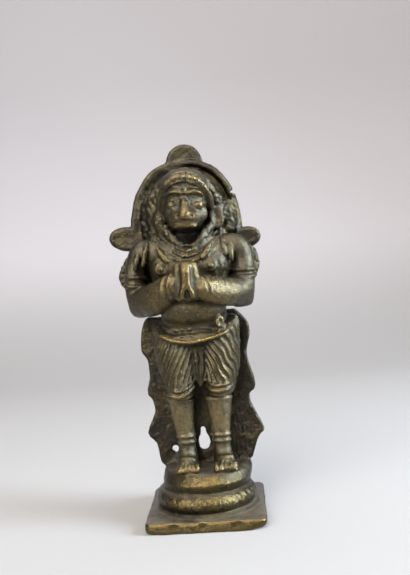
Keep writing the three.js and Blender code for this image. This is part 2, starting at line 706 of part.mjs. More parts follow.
function asMesh(name, made, material) {
  const { vertProperties, triVerts } = made.getMesh();
  const geometry = new THREE.BufferGeometry();
  geometry.setAttribute("position", new THREE.BufferAttribute(vertProperties, 3));
  geometry.setIndex(new THREE.BufferAttribute(triVerts, 1));
  geometry.computeVertexNormals();
  const mesh = new THREE.Mesh(geometry, material);
  mesh.name = name;
  return mesh;
}

const agedBrass = new THREE.MeshStandardMaterial({ color: 0x7a6a3c, roughness: 0.42, metalness: 1 });

const group = new THREE.Group();
group.add(asMesh("hanuman_figure", makeFigure(), agedBrass));

export default group;
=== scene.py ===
"""A small brass figure of Hanuman with joined hands: one worn casting with its halo, back sheet and base.

The casting is modelled as a solid on a fine grid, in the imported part's own frame, and then meshed.
"""

import math

import bpy
import numpy as np
import openvdb
from mathutils import Euler, Matrix, Vector


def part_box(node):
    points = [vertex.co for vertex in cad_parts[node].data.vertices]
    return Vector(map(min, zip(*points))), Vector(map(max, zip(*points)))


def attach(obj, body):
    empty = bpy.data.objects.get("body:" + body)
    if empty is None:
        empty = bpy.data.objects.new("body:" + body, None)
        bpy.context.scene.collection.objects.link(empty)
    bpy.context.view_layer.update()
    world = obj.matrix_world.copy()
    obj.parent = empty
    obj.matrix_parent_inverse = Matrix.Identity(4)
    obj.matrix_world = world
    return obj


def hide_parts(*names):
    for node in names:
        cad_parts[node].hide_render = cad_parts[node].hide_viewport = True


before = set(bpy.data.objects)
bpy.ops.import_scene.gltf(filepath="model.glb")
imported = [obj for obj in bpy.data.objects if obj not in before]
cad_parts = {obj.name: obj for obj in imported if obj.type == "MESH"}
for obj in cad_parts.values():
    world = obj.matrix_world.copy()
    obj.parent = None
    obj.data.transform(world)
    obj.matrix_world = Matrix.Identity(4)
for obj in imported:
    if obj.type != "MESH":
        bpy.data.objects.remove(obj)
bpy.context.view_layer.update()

# The figure is given in shares, each SHARE millimetres, counted up from the drum's top. All else is in
# millimetres of a casting that is CASTING_HEIGHT tall, scaled to the frame.
NODE = "hanuman_figure"
CASTING_HEIGHT = 92.56
DRUM_TOP = 12.3
SHARE = 1.0025
NODE_LOW, NODE_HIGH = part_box(NODE)
METRES = (NODE_HIGH.z - NODE_LOW.z) / CASTING_HEIGHT

# Grid that holds the solid, in shares
STEP = 0.2
GRID_LOW = (-21.6, -16.2, -13.0)
GRID_HIGH = (19.2, 15.2, 81.2)
FAR = 2.5
MARGIN = 1.2
MOST_TRIANGLES = 190000

# Amounts that keep a root or a division off zero
SMALL, TINY = 1e-6, 1e-9

rng = np.random.default_rng(7)


# Distances


def smooth_min(a, b, blend):
    """The lower of two distances, with a fillet where they meet."""
    share = np.clip(0.5 + 0.5 * (b - a) / blend, 0, 1)
    return b * (1 - share) + a * share - blend * share * (1 - share)


def smooth_max(a, b, blend):
    return -smooth_min(-a, -b, blend)


def ramp(value, start, length):
    """How far a value has come from the start, as a share of the length from 0 to 1."""
    return np.clip((value - start) / length, 0, 1)


def hill(value, top, spread):
    return np.exp(-(((value - top) / spread) ** 2))


def dot(a, b):
    return a[0] * b[0] + a[1] * b[1] + a[2] * b[2]


def smooth_path(points, steps):
    """A smooth path through points of any dimension."""
    points = np.asarray(points, float)
    padded = np.vstack([2 * points[0] - points[1], points, 2 * points[-1] - points[-2]])
    path = []
    for k in range(len(points) - 1):
        p0, p1, p2, p3 = padded[k : k + 4]
        for t in np.arange(steps) / steps:
            path.append(
                0.5 * (2 * p1 + (p2 - p0) * t + (2 * p0 - 5 * p1 + 4 * p2 - p3) * t * t)
                + 0.5 * (3 * p1 - p0 - 3 * p2 + p3) * t**3
            )
    path.append(points[-1])
    return np.array(path)


def ball(centre, radii):
    """An ellipsoid."""
    centre = np.asarray(centre, float)
    radii = np.asarray(radii, float)

    def distance(x, y, z):
        inner = SMALL
        slope = SMALL / radii.min() ** 2
        for radius, offset in zip(radii, (x - centre[0], y - centre[1], z - centre[2])):
            inner = inner + (offset / radius) ** 2
            slope = slope + (offset / radius**2) ** 2
        inner = np.sqrt(inner)
        return inner * (inner - 1) / np.sqrt(slope)

    reach = radii.max()
    return centre - reach, centre + reach, distance


def strands(rise, wave, turns):
    """A relief for a cord of twisted strands."""
    return lambda place, angle: rise * np.cos(place * math.tau / wave + turns * angle)


def side_axes(moves):
    """Two axes square to each move of a path, carried along it without a twist."""
    side = np.array([0.0, 1.0, 0.3])
    for move in moves:
        forward = move / np.linalg.norm(move)
        side = side - forward * (side @ forward)
        side /= np.linalg.norm(side)
        yield side, np.cross(forward, side)


def tube(points, radii, steps=4, relief=None, squash=(1, 1, 1)):
    """A round body along a smooth path.

    A relief adds height by the distance along it and the angle round it.
    """
    points = np.asarray(points, float)
    radii = np.broadcast_to(np.asarray(radii, float), len(points))
    path = smooth_path(np.column_stack([points, radii]), steps)
    squash = np.asarray(squash, float)
    spots = path[:, :3] * squash
    moves = np.diff(spots, axis=0)
    axes = list(side_axes(moves))
    lengths = np.linalg.norm(np.diff(path[:, :3], axis=0), axis=1)
    starts = np.concatenate([[0], np.cumsum(lengths)])

    def distance(x, y, z):
        x, y, z = x * squash[0], y * squash[1], z * squash[2]
        best = place = angle = None
        for k, (a, ab) in enumerate(zip(spots, moves)):
            along = np.clip(dot((x - a[0], y - a[1], z - a[2]), ab) / max(ab @ ab, TINY), 0, 1)
            off = (x - a[0] - along * ab[0], y - a[1] - along * ab[1], z - a[2] - along * ab[2])
            near = np.sqrt(dot(off, off)) - (path[k, 3] + (path[k + 1, 3] - path[k, 3]) * along)
            if relief is None:
                best = near if best is None else np.minimum(best, near)
                continue
            here = starts[k] + lengths[k] * along
            turn = np.arctan2(dot(off, axes[k][1]), dot(off, axes[k][0]))
            if best is None:
                best, place, angle = near, here, turn
            closer = near < best
            best = np.where(closer, near, best)
            place = np.where(closer, here, place)
            angle = np.where(closer, turn, angle)
        if relief is not None:
            best = best - relief(place, angle)
        return best

    reach = radii.max() + 0.5
    return points.min(0) - reach, points.max(0) + reach, distance


def column(rings, y, back, x=0.0, sag=0.0, relief=None, cap=0.5, power=2.0):
    """An upright body through oval rings (z, wide, front), or (z, wide, front, x), lowest first."""
    table = smooth_path(np.array([ring if len(ring) > 3 else (*ring, x) for ring in rings], float), 6)
    table = table[np.argsort(table[:, 0])]
    heights, wides, fronts, middles = table.T
    slopes = np.gradient(wides, heights + np.arange(len(heights)) * SMALL)

    def distance(gx, gy, gz):
        dx = gx - np.interp(gz, heights, middles)
        dy = gy - y
        level = gz
        if sag:
            level = gz + sag * np.clip(-dy / np.sqrt(dx * dx + dy * dy + 0.01), 0, 1)
            dx = gx - np.interp(level, heights, middles)
        wide = np.interp(level, heights, wides)
        deep = np.where(dy < 0, np.interp(level, heights, fronts), back)
        across, forward = np.abs(dx) / wide, np.abs(dy) / deep
        inner = (across**power + forward**power + SMALL) ** (1 / power)
        lean = np.sqrt((across ** (power - 1) / wide) ** 2 + (forward ** (power - 1) / deep) ** 2 + 1e-8)
        round_it = np.maximum((inner - 1) * inner ** (power - 1) / lean, -0.8 * np.minimum(wide, deep))
        if relief is not None:
            round_it = round_it - relief(np.arctan2(-dy / deep, dx / wide), level)
        round_it = round_it / np.sqrt(1 + np.clip(np.interp(level, heights, slopes), -2, 2) ** 2)
        return smooth_max(round_it, np.maximum(heights[0] - level, level - heights[-1]), cap)

    reach = wides.max() + 0.6
    low = (middles.min() - reach, y - fronts.max() - 0.6, heights[0] - sag)
    high = (middles.max() + reach, y + back + 0.6, heights[-1] + 0.3)
    return low, high, distance


def hoop(centre, wide, high, turn, radius):
    """An oval ring, upright across X and then turned by degrees about X, Y and Z."""
    axes = np.array(Euler([math.radians(a) for a in turn]).to_matrix())
    angles = np.radians(np.arange(0, 361, 24))
    oval = np.column_stack([wide * np.cos(angles), 0 * angles, high * np.sin(angles)])
    return tube(oval @ axes.T + centre, radius, 2)


def rough(form, rise, wave, seed):
    """A form with an uneven surface, as crossed waves of many directions."""
    low, high, smooth = form
    draw = np.random.default_rng(seed)
    waves = draw.normal(0, 1, (8, 3))
    lengths = wave * draw.uniform(0.7, 1.4, (8, 1))
    waves *= math.tau / (lengths * np.linalg.norm(waves, axis=1, keepdims=True))
    phases = draw.uniform(0, math.tau, 8)

    def distance(x, y, z):
        total = sum(np.sin(dot(way, (x, y, z)) + phase) for way, phase in zip(waves, phases))
        return smooth(x, y, z) - rise * total / 3

    return low, high, distance


def outline_distance(points, x, z):
    """Distance in X and Z to a closed outline, negative inside."""
    points = np.asarray(points, float)
    nearest = None
    inside = False
    for a, b in zip(points, np.roll(points, -1, axis=0)):
        ab = b - a
        t = np.clip(((x - a[0]) * ab[0] + (z - a[1]) * ab[1]) / max(ab @ ab, TINY), 0, 1)
        near = (x - a[0] - t * ab[0]) ** 2 + (z - a[1] - t * ab[1]) ** 2
        nearest = near if nearest is None else np.minimum(nearest, near)
        spans = (a[1] <= z) != (b[1] <= z)
        crossing = a[0] + (z - a[1]) * ab[0] / (ab[1] if abs(ab[1]) > TINY else TINY)
        inside = inside ^ (spans & (x < crossing))
    return np.where(inside, -1, 1) * np.sqrt(nearest)


def slab(points, front, back, edge):
    """An upright plate. Its front is a depth, or a function of x, z and the distance inside its edge."""
    points = np.asarray(points, float)

    def distance(x, y, z):
        flat = outline_distance(points, x, z)
        near = front(x, z, -flat) if callable(front) else front
        return smooth_max(flat, np.maximum(near - y, y - back), edge)

    low = (points[:, 0].min(), (0.0 if callable(front) else front) - 1.5, points[:, 1].min())
    high = (points[:, 0].max(), back + 0.5, points[:, 1].max())
    return low, high, distance


class Clay:
    """A solid as distances on a grid, negative inside."""

    def __init__(self):
        self.axes = [np.arange(low, high, STEP, dtype=np.float32) for low, high in zip(GRID_LOW, GRID_HIGH)]
        self.field = np.full([len(axis) for axis in self.axes], FAR, np.float32)

    def cells_of(self, form):
        """The cells round a form, and its distances there."""
        low, high, distance = form
        where = []
        for axis, a, b in zip(self.axes, low, high):
            where.append(slice(*np.searchsorted(axis, (a - MARGIN, b + MARGIN))))
        x, y, z = (axis[part] for axis, part in zip(self.axes, where))
        made = distance(x[:, None, None], y[None, :, None], z[None, None, :])
        return tuple(where), made.astype(np.float32)

    def add(self, form, blend):
        where, made = self.cells_of(form)
        self.field[where] = smooth_min(self.field[where], made, blend)

    def carve(self, form, blend):
        where, made = self.cells_of(form)
        self.field[where] = smooth_max(self.field[where], -made, blend)

    def soften(self):
        for axis in range(3):
            inner = self.field.swapaxes(0, axis)
            inner[1:-1] = 0.25 * inner[:-2] + 0.5 * inner[1:-1] + 0.25 * inner[2:]

    def noise(self, wave):
        """Smooth random values from -1 to 1 over the whole grid, with bumps about a wave apart."""
        places = [(axis - axis[0]) / wave for axis in self.axes]
        counts = [int(place[-1]) + 3 for place in places]
        values = rng.uniform(-1, 1, counts).astype(np.float32)
        for k, place in enumerate(places):
            whole = place.astype(int)
            part = place - whole
            part = (part * part * (3 - 2 * part)).astype(np.float32)
            shape = [1, 1, 1]
            shape[k] = len(part)
            part = part.reshape(shape)
            low, high = np.take(values, whole, axis=k), np.take(values, whole + 1, axis=k)
            values = low * (1 - part) + high * part
        return values


# Base


def from_base(radius, height):
    """A radius and a height above the underside, in millimetres, as shares."""
    return radius / SHARE, (height - DRUM_TOP) / SHARE


UNDERSIDE = from_base(0, 0)[1]
PLINTH_TOP = 2.5
PLINTH_FRONT = 14.15
PLINTH_RIGHT = 14.5
PLINTH_LEFT = 14.8
PLINTH_SKEW = 0.036
PLINTH_LEAN = 0.35
PLINTH_CORNER = 1.6
PLINTH_BACKWARD = 0.15
# Knocks and bumps along the plinth's front edge, as (x, size)
KNOCKS = [(-4.4, 0.8), (-2.6, 0.6), (3.4, 0.7), (5, 0.5), (-10.5, 0.4), (9.4, 0.4), (11.6, 0.5)]
BUMPS = [(-7.6, 0.6), (-0.8, 0.5), (6.9, 0.7)]


def plinth(clay):
    """A hand-finished square: its left side runs outwards towards the back and its sides lean in."""
    front, top = from_base(PLINTH_FRONT, PLINTH_TOP)
    right, left = PLINTH_RIGHT / SHARE, PLINTH_LEFT / SHARE

    def distance(x, y, z):
        lean = PLINTH_LEAN * ramp(z, UNDERSIDE, PLINTH_TOP)
        side = np.where(x < 0, left + PLINTH_SKEW * y, right)
        dx = np.abs(x) - (side - lean) + PLINTH_CORNER
        dy = np.abs(y - PLINTH_BACKWARD) - (front + PLINTH_BACKWARD - lean) + PLINTH_CORNER
        outside = np.sqrt(np.maximum(dx, 0) ** 2 + np.maximum(dy, 0) ** 2)
        flat = outside + np.minimum(np.maximum(dx, dy), 0) - PLINTH_CORNER
        # the lower edge is worn round at the corners, most at the right
        worn = 0.5 + ramp(-x, 11, 3) + 2.4 * ramp(x, 10.2, 2.5)
        return smooth_max(smooth_max(flat, z - top, 0.6), UNDERSIDE - z, worn)

    clay.add(((-left - 1, -front, UNDERSIDE), (right, front + 0.5, top), distance), 0.3)
    for x, size in KNOCKS:
        clay.carve(ball((x, -front - 0.1, top + 0.1), (size * 1.3, size, size * 0.9)), 0.4)
    for x, size in BUMPS:
        clay.add(ball((x, -front + 0.35, top - 0.2), (size * 1.5, 0.28, 0.28)), 0.5)


# Spacing and reach of the radii at which a lathed body's distances are worked out
RADIUS_STEP, WIDEST_RADIUS = 0.05, 22


def lathed(profile, relief=None, middle=0.0, lean=(0, 0)):
    """A round body about Z from (radius, height) pairs in millimetres, closed along the axis.

    The lean moves it in X and Y for each share of height.
    """
    spots = np.array([from_base(*spot) for spot in profile])
    foot = spots[:, 1].min()
    spots = np.vstack([(-5, spots[0, 1]), spots, (-5, spots[-1, 1])])

    def distance(x, y, z):
        radii = np.arange(0, WIDEST_RADIUS, RADIUS_STEP)
        heights = z.ravel()
        table = outline_distance(spots, radii[:, None], heights[None, :])
        x = x - middle - lean[0] * (z - foot)
        y = y - lean[1] * (z - foot)
        radius = np.sqrt(x * x + y * y)
        whole = np.minimum((radius / RADIUS_STEP).astype(int), len(radii) - 2)
        part = radius / RADIUS_STEP - whole
        level = np.arange(len(heights))[None, None, :]
        made = table[whole, level] * (1 - part) + table[whole + 1, level] * part
        if relief is not None:
            made = made - relief(np.arctan2(x, -y), radius, z)
        return made

    reach = spots[:, 0].max() + 0.8
    return (-reach, -reach, foot), (reach, reach, spots[:, 1].max()), distance


RING_MIDDLE = 5.7
PETALS = 20
PETAL_WIDE, PETAL_HIGH = 0.42, 1.15


def petals(angle, radius, z):
    """Worn petals in low relief round the ring moulding, each a raised outline with a bud in it."""
    height = z * SHARE + DRUM_TOP - RING_MIDDLE
    across = (angle * PETALS / math.tau + 0.25 * np.sin(3.1 * angle)) % 1 - 0.5
    petal = np.sqrt((across / PETAL_WIDE) ** 2 + ((height + 0.1) / PETAL_HIGH) ** 2)
    outline = hill(petal, 0.85, 0.16)
    bud = hill(petal, 0, 0.3)
    on_ring = ramp(radius, 10.8, 0.6) * np.clip(1.3 - np.abs(height) / 1.5, 0, 1)
    worn = np.clip(0.6 + 0.6 * np.sin(2.3 * angle + 1.0) * np.cos(5.1 * angle), 0.25, 1)
    # on the right the petals give way to slanting cuts
    cuts = ramp(angle, 0.5, 0.3) * np.sin(angle * 34 + height * 1.6)
    flower = (0.17 * outline + 0.14 * bud) * worn * ramp(angle, 0.9, -0.3)
    return (flower + 0.12 * cuts) * on_ring


# The drum's front: a swelling, the slope above it, faint rings on the slope, and dents all round
BULGE_AT, BULGE_RISE, BULGE_SPREAD = 9.5, 0.42, 0.75
SLOPE_FROM, SLOPE_DEPTH = 9.9, 0.85
RINGS_FROM, RINGS_RISE = 9.8, 0.05
DENT_RISE, DENT_WAVE, DRUM_RADIUS = 0.05, 0.95, 11


def worn_front(angle, radius, z):
    """In front the drum swells low down, and falls back above that towards the toes."""
    height = z * SHARE + DRUM_TOP
    front = np.clip(np.cos(angle), 0, 1) ** 1.3
    swell = BULGE_RISE * hill(height, BULGE_AT, BULGE_SPREAD)
    slope = SLOPE_DEPTH * ramp(height, SLOPE_FROM, DRUM_TOP - SLOPE_FROM) ** 1.2
    rings = RINGS_RISE * np.sin(height * 5.5) * ramp(height, RINGS_FROM, 0.5)
    return (swell - slope + rings) * front + DENT_RISE * bumpy(angle * DRUM_RADIUS, z, DENT_WAVE, 12)


STEP_PROFILE = [(12.85, 2.3), (12.6, 2.6), (12.35, 2.9), (12.1, 3.1), (11.8, 3.25), (11.2, 3.3)]
RING_PROFILE = [
    (11.3, 3.2), (11.85, 3.6), (12.15, 4.2), (12.3, 4.9), (12.25, 5.6), (11.95, 6.3), (11.5, 6.85),
    (10.9, 7.3), (10.1, 7.6),
]
DRUM_PROFILE = [
    (10.1, 7.45), (10.55, 7.75), (10.85, 8.5), (10.95, 9.4), (10.95, 10.4), (10.9, 11.2), (10.6, 11.8),
    (9.9, 12.15), (9, 12.3),
]
RING_X = -0.3
DRUM_X = -0.1
DRUM_LEAN = (0.19, 0.17)


def round_base(clay):
    clay.add(lathed([(0, 1.5), (12.9, 1.5), *STEP_PROFILE, (0, 3.3)]), 0.35)
    ring = smooth_path(RING_PROFILE, 3)
    clay.add(lathed([(0, 3.2), *ring, (0, 7.6)], petals, RING_X), 0.12)
    drum = smooth_path(DRUM_PROFILE, 3)
    clay.add(lathed([(0, 7.4), *drum, (0, 12.3)], worn_front, DRUM_X, DRUM_LEAN), 0.08)


# Halo and back sheet

HALO_X, HALO_Z, HALO_WIDE, HALO_HIGH, HALO_POWER = -0.6, 57, 14.2, 19, 2.3
HALO_FRONT, HALO_BACK = 1.6, 3.3
RIM_WIDE, RIM_NARROWER = 3.4, 1.4
SHEET_FRONT, SHEET_BACK = 1.2, 2.8
SHEET_LEFT = [
    (-9.9, 36.8), (-12.4, 36.7), (-13.9, 33.4), (-14.3, 28.4), (-12.9, 26.2), (-12.7, 21.8),
    (-13.4, 17.6), (-12.4, 16), (-11.9, 12.9), (-14.1, 7.8), (-12.1, 5), (-11.2, 0.3),
]
SHEET_RIGHT = [
    (11.8, 0.3), (13.6, 5.2), (15.2, 7.4), (12.8, 12.7), (12.1, 16), (13.8, 18.1),
    (12.5, 24.4), (12.3, 27.3), (13.4, 31.6), (12.8, 34.6), (10, 37.6),
]


def halo_outline():
    angles = np.radians(np.linspace(-50, 230, 44))
    cos, sin = np.cos(angles), np.sin(angles)
    reach = (np.abs(cos) ** HALO_POWER + np.abs(sin) ** HALO_POWER) ** (-1 / HALO_POWER)
    return np.column_stack([HALO_X + HALO_WIDE * reach * cos, HALO_Z + HALO_HIGH * reach * sin])


def bumpy(x, z, wave, seed):
    """Uneven ground over a plate, from -1 to 1, as crossed waves of many directions."""
    draw = np.random.default_rng(seed)
    total = 0
    for angle, phase, stretch in draw.uniform((0, 0, 0.7), (math.pi, math.tau, 1.4), (9, 3)):
        along = x * math.cos(angle) + z * math.sin(angle)
        total = total + np.sin(along * math.tau / (wave * stretch) + phase)
    return total / 4


def halo_front(x, z, inside):
    # the border is broad, smooth and low on the left, and narrow with a groove behind it on the right
    right = np.clip(x / 3 + 0.5, 0, 1)
    rim_width = RIM_WIDE - RIM_NARROWER * right
    rim = np.clip((rim_width - inside) / (2.4 - 1.9 * right), 0, 1)
    rim = rim * rim * (3 - 2 * rim)
    crown = (0.08 + 0.32 * right) * np.cos(np.clip((inside - rim_width / 2) / rim_width, -0.5, 0.5) * math.pi)
    groove = 0.3 * right * hill(inside - rim_width, 0.3, 0.3)
    field = np.clip(inside - RIM_WIDE, 0, 1)
    uneven = 0.3 * bumpy(x, z, 2.4, 3) * field + 0.16 * bumpy(x, z, 1.1, 4) * field
    uneven = uneven + 0.06 * bumpy(x, z, 4, 8)
    # below the chip the right border is worn away to a slant
    slant = ramp(x, 9, 2) * ramp(z, 66.5, -1.5) * ramp(z, 50, 6)
    worn = slant * 0.75 * np.clip(2.2 - inside, 0, 2)
    return HALO_FRONT - (0.4 + 0.2 * right + crown) * rim + groove - uneven + worn


LEAF_RISE, LEAF_BORDER = 0.3, 0.9
# The round crest and the side leaves, as (x, z, wide, high, tilt, blend)
LEAVES = [(0, 75, 4.7, 4.9, 0, 0.25), (-16, 57, 4.6, 3.1, -0.15, 0.5), (14.4, 55.2, 3.6, 2.7, 0.1, 0.5)]
CHIP = [(11, 66.6), (14.2, 66.1), (14.2, 67.3), (11.3, 67.2)]


def leaf(x, z, wide, high, tilt):
    angles = np.radians(np.arange(0, 360, 12))
    cos, sin = math.cos(tilt), math.sin(tilt)
    across, up = wide * np.cos(angles), high * np.sin(angles)
    points = np.column_stack([x + across * cos - up * sin, z + across * sin + up * cos])

    def front(gx, gz, inside):
        border = hill(inside, LEAF_BORDER, 0.4)
        uneven = 0.04 * bumpy(gx, gz, 1.5, 2)
        return HALO_FRONT - LEAF_RISE - 0.07 * border + 0.06 * np.clip(inside - 1.3, 0, 1) - uneven

    return slab(points, front, HALO_BACK, 0.9)


def halo(clay):
    clay.add(slab(halo_outline(), halo_front, HALO_BACK, 0.8), 0.3)
    for *shape, blend in LEAVES:
        clay.add(leaf(*shape), blend)
    clay.carve(slab(CHIP, -0.5, 4.5, 0.3), 0.3)


def sheet_front(x, z, inside):
    # shaggy folds beside the right ankle, and a shallow hollow within the edge
    beside_ankle = hill(x, 9.6, 2.4) * ramp(z, 14, -4)
    folds = 0.1 * np.sin(x * 6.0 + z * 0.5 + 1.2 * bumpy(x, z, 5, 9)) + 0.13 * bumpy(x, z, 1, 10)
    lobe = 0.25 * ramp(inside, 0.6, 2.5)
    uneven = 0.07 * bumpy(x, z, 3.4, 5) + 0.05 * bumpy(x, z, 1.3, 6)
    return SHEET_FRONT + lobe - 0.25 - folds * beside_ankle - uneven


def back_sheet(clay):
    left = smooth_path(SHEET_LEFT, 3)
    right = smooth_path(SHEET_RIGHT, 3)
    outline = np.vstack([left, [(-10, -0.9), (10, -0.9)], right])
    clay.add(slab(outline, sheet_front, SHEET_BACK, 0.7), 0.3)


PEAR_HOLE = [(0, 0, 3.9), (0, 0, 5), (-0.1, 0, 6.6), (-0.15, 0, 8)]
PEAR_RADII = [1.25, 1.4, 0.75, 0.6]
PINHOLE = [(-8.3, 3.2), (-7.2, 2.3), (-6.4, 3.4), (-7, 4.2), (-8, 4.2)]


def casting_holes(clay):
    low, high, distance = tube(PEAR_HOLE, PEAR_RADII, squash=(1, 0.05, 1))
    clay.carve((low + (0, -0.5, 0), high + (0, 4, 0), distance), 0.35)
    clay.carve(slab(PINHOLE, -1, 4, 0.3), 0.3)


# Legs and breeches

SHIN = [
    (1, 2.3, 2.1), (3.4, 2.15, 2), (5.6, 2, 1.75), (7, 2, 1.8), (8.5, 2.3, 2), (10.5, 2.55, 2.2),
    (13.2, 2.9, 2.45), (15.4, 3.1, 2.6), (16.6, 3.2, 2.75), (17, 3.05, 2.6), (17.4, 2.3, 2.1), (19, 2.3, 2.1),
]
SHIN_BANDS = [(6.1, 0.42, 0.4), (7.5, 0.42, 0.38), (16.3, 0.25, 0.4)]
LEGS = [
    {
        "side": -1,
        "ankle": -3.8,
        "knee": -4.7,
        "toes": -3.95,
        "toe_row": -3.3,
        "toe_pitch": 0.95,
        "thigh": [
            (18.7, 3.4, 4.9, -4.1), (20.8, 3.6, 4.9, -4.3), (24, 4.2, 4.9, -4.9), (29.5, 4.9, 5.1, -5.1),
            (31.9, 4.6, 4.6, -5.3), (34, 3.5, 3.7, -6), (35.2, 2.2, 2.4, -6.7),
        ],
        "hem": 19.35,
        "rims": [
            [
                (-7.3, -4.7, 19), (-6.7, -6.8, 18.25), (-5.6, -7.7, 17.75), (-4.1, -8.1, 17.7),
                (-2.3, -7.4, 18.5), (-1, -5.4, 19.8),
            ],
            [(-7.3, -4.7, 20.3), (-5.7, -7.6, 19.2), (-4, -8.05, 19), (-2.2, -7.4, 19.8), (-1, -5.5, 21)],
        ],
    },
    {
        "side": 1,
        "ankle": 4.6,
        "knee": 4.5,
        "toes": 5.5,
        "toe_row": 5.4,
        "toe_pitch": 1.15,
        "thigh": [
            (19.2, 3.6, 4.9, 5.3), (21.3, 3.75, 4.9, 5.5), (24, 4.1, 4.9, 6), (29.5, 4.5, 5.1, 6.1),
            (32, 4.7, 4.8, 5.9), (34.5, 4.2, 4.3, 6.5), (36.3, 2.8, 3, 7.4),
        ],
        "hem": 19.85,
        "rims": [
            [(2, -4.8, 19.7), (3.3, -7.3, 18.85), (5.5, -8.1, 18.6), (7.4, -7.2, 19.1), (8.8, -4.6, 20.2)],
            [(2, -4.9, 20.9), (3.5, -7.4, 20.1), (5.5, -8.05, 19.9), (7.5, -7.2, 20.4), (8.8, -4.6, 21.4)],
        ],
    },
]
HEM_SAG = 2.0
PLEATS = 18
PLEAT_TWIST = 0.115
PLEAT_DEPTH = 0.31


def shin(leg):
    def bands(angle, z):
        return sum(rise * hill(z, at, half) for at, rise, half in SHIN_BANDS)

    low, high = SHIN[0][0], SHIN[-1][0]
    middles = np.interp([z for z, wide, front in SHIN], (low, high), (leg["ankle"], leg["knee"]))
    return column([(*ring, middle) for ring, middle in zip(SHIN, middles)], -2.8, 4.5, relief=bands)


FOOT = [
    (1, 1.6, 3), (-1, 2.2, 4.6), (-3, 2.5, 4.6), (-4.8, 2.65, 3.7), (-6.2, 2.75, 2.7), (-7.3, 2.8, 1.9),
    (-8, 2.7, 1.35), (-8.4, 2.4, 0.8),
]
TOE_ROOT, TOE_TIP = -7.2, -8.9
# Each toe, from the large one, is smaller and set further back than the last
TOE_SIZE, TOE_SMALLER, TOE_BACK = 0.49, 0.035, 0.26
TOE_GROOVE = [(-9.2, 0), (-8.7, 0.65), (-8, 1.2), (-7.2, 1.7)]


def foot_body(leg):
    """A foot as half rings from heel to toes, standing on the drum."""
    depths, wides, highs = smooth_path(FOOT, 5)[::-1].T

    def distance(x, y, z):
        level = np.clip(y, depths[0], depths[-1])
        middle = leg["ankle"] + (leg["toes"] - leg["ankle"]) * ramp(y, 1, -10)
        dx = x - middle
        dz = np.maximum(z + 0.3, 0)
        wide = np.interp(level, depths, wides)
        high = np.interp(level, depths, highs) + 0.3
        inner = np.sqrt((dx / wide) ** 2 + (dz / high) ** 2 + SMALL)
        slope = np.sqrt((dx / wide**2) ** 2 + (dz / high**2) ** 2 + SMALL / high**2)
        side = inner * (inner - 1) / slope
        ends = np.maximum(np.maximum(depths[0] - y, y - depths[-1]), -0.4 - z)
        return smooth_max(side, ends, 0.5)

    low, high = sorted((leg["ankle"], leg["toes"]))
    return (low - 3.2, -9.6, -0.8), (high + 3.2, 1.6, 5.2), distance


def foot(clay, leg):
    side, pitch = leg["side"], leg["toe_pitch"]
    clay.add(foot_body(leg), 0.7)
    for toe in range(5):
        size = pitch * (TOE_SIZE - TOE_SMALLER * toe)
        x = leg["toe_row"] + side * pitch * (toe - 2)
        tip = TOE_TIP + TOE_BACK * toe
        bones = [(x, TOE_ROOT, 1.45), (x, tip + 0.9, 0.95), (x, tip + 0.4, 0.25)]
        clay.add(tube(bones, [size * 0.8, size, size]), 0.2)
    for gap in range(4):
        x = leg["toe_row"] + side * pitch * (gap - 1.5)
        clay.carve(tube([(x, y, z) for y, z in TOE_GROOVE], 0.26 * pitch), 0.15)
    # an ornament over the instep
    toes = leg["toes"]
    across = (-1.8, -0.9, 0, 0.9, 1.8)
    band = [(toes + side * u, -5.5 - 0.6 * math.cos(u), 2.85 - 0.13 * u * u) for u in across]
    clay.add(tube(band, 0.24), 0.4)
    clay.add(ball((toes, -6.3, 2.55), (0.4, 0.4, 0.5)), 0.3)


def thigh(leg):
    side, hem = leg["side"], leg["hem"]

    def relief(angle, z):
        above = z - hem
        turned = angle - side * PLEAT_TWIST * above + 0.05 * np.sin(0.8 * above + 4 * angle)
        wave = 0.5 + 0.5 * np.cos(PLEATS * turned)
        ridge = wave**2.6 - 0.35
        cloth = ramp(above, 1.3, 0.8)
        stitches = 0.1 * np.cos(26 * angle) * hill(above, 0.65, 0.3)
        return PLEAT_DEPTH * 2 * ridge * cloth + stitches

    return column(leg["thigh"], -3, 4.9, sag=HEM_SAG, relief=relief, cap=0.35)


CLOTH = [
    (19.3, 0.45, 0.9, 0.55), (20.6, 1, 1.1, 0.6), (22, 1.9, 1.4, 0.7), (24, 2.9, 1.6, 0.9),
    (28, 3.2, 1.9, 1), (31, 3.2, 2.5, 0.9),
]


def front_fold(clay):
    """A cloth between the thighs, in folds that draw together to a point, with a tassel on it."""

    def folds(angle, z):
        return 0.3 * np.cos(13 * angle + 0.9) * np.clip((z - 18.5) / 3, 0.3, 1)

    clay.add(column(CLOTH, -4.2, 5.8, relief=folds, power=3.0), 0.2)
    clay.add(rough(ball((0.1, -6, 26.6), (0.7, 0.4, 1.7)), 0.14, 0.9, 16), 0.25)


def legs(clay):
    for leg in LEGS:
        clay.add(shin(leg), 0.3)
        foot(clay, leg)
        clay.add(thigh(leg), 0.25)
        for rim, radius in zip(leg["rims"], (0.45, 0.36)):
            clay.add(tube(rim, radius), 0.2)
    front_fold(clay)


# Trunk

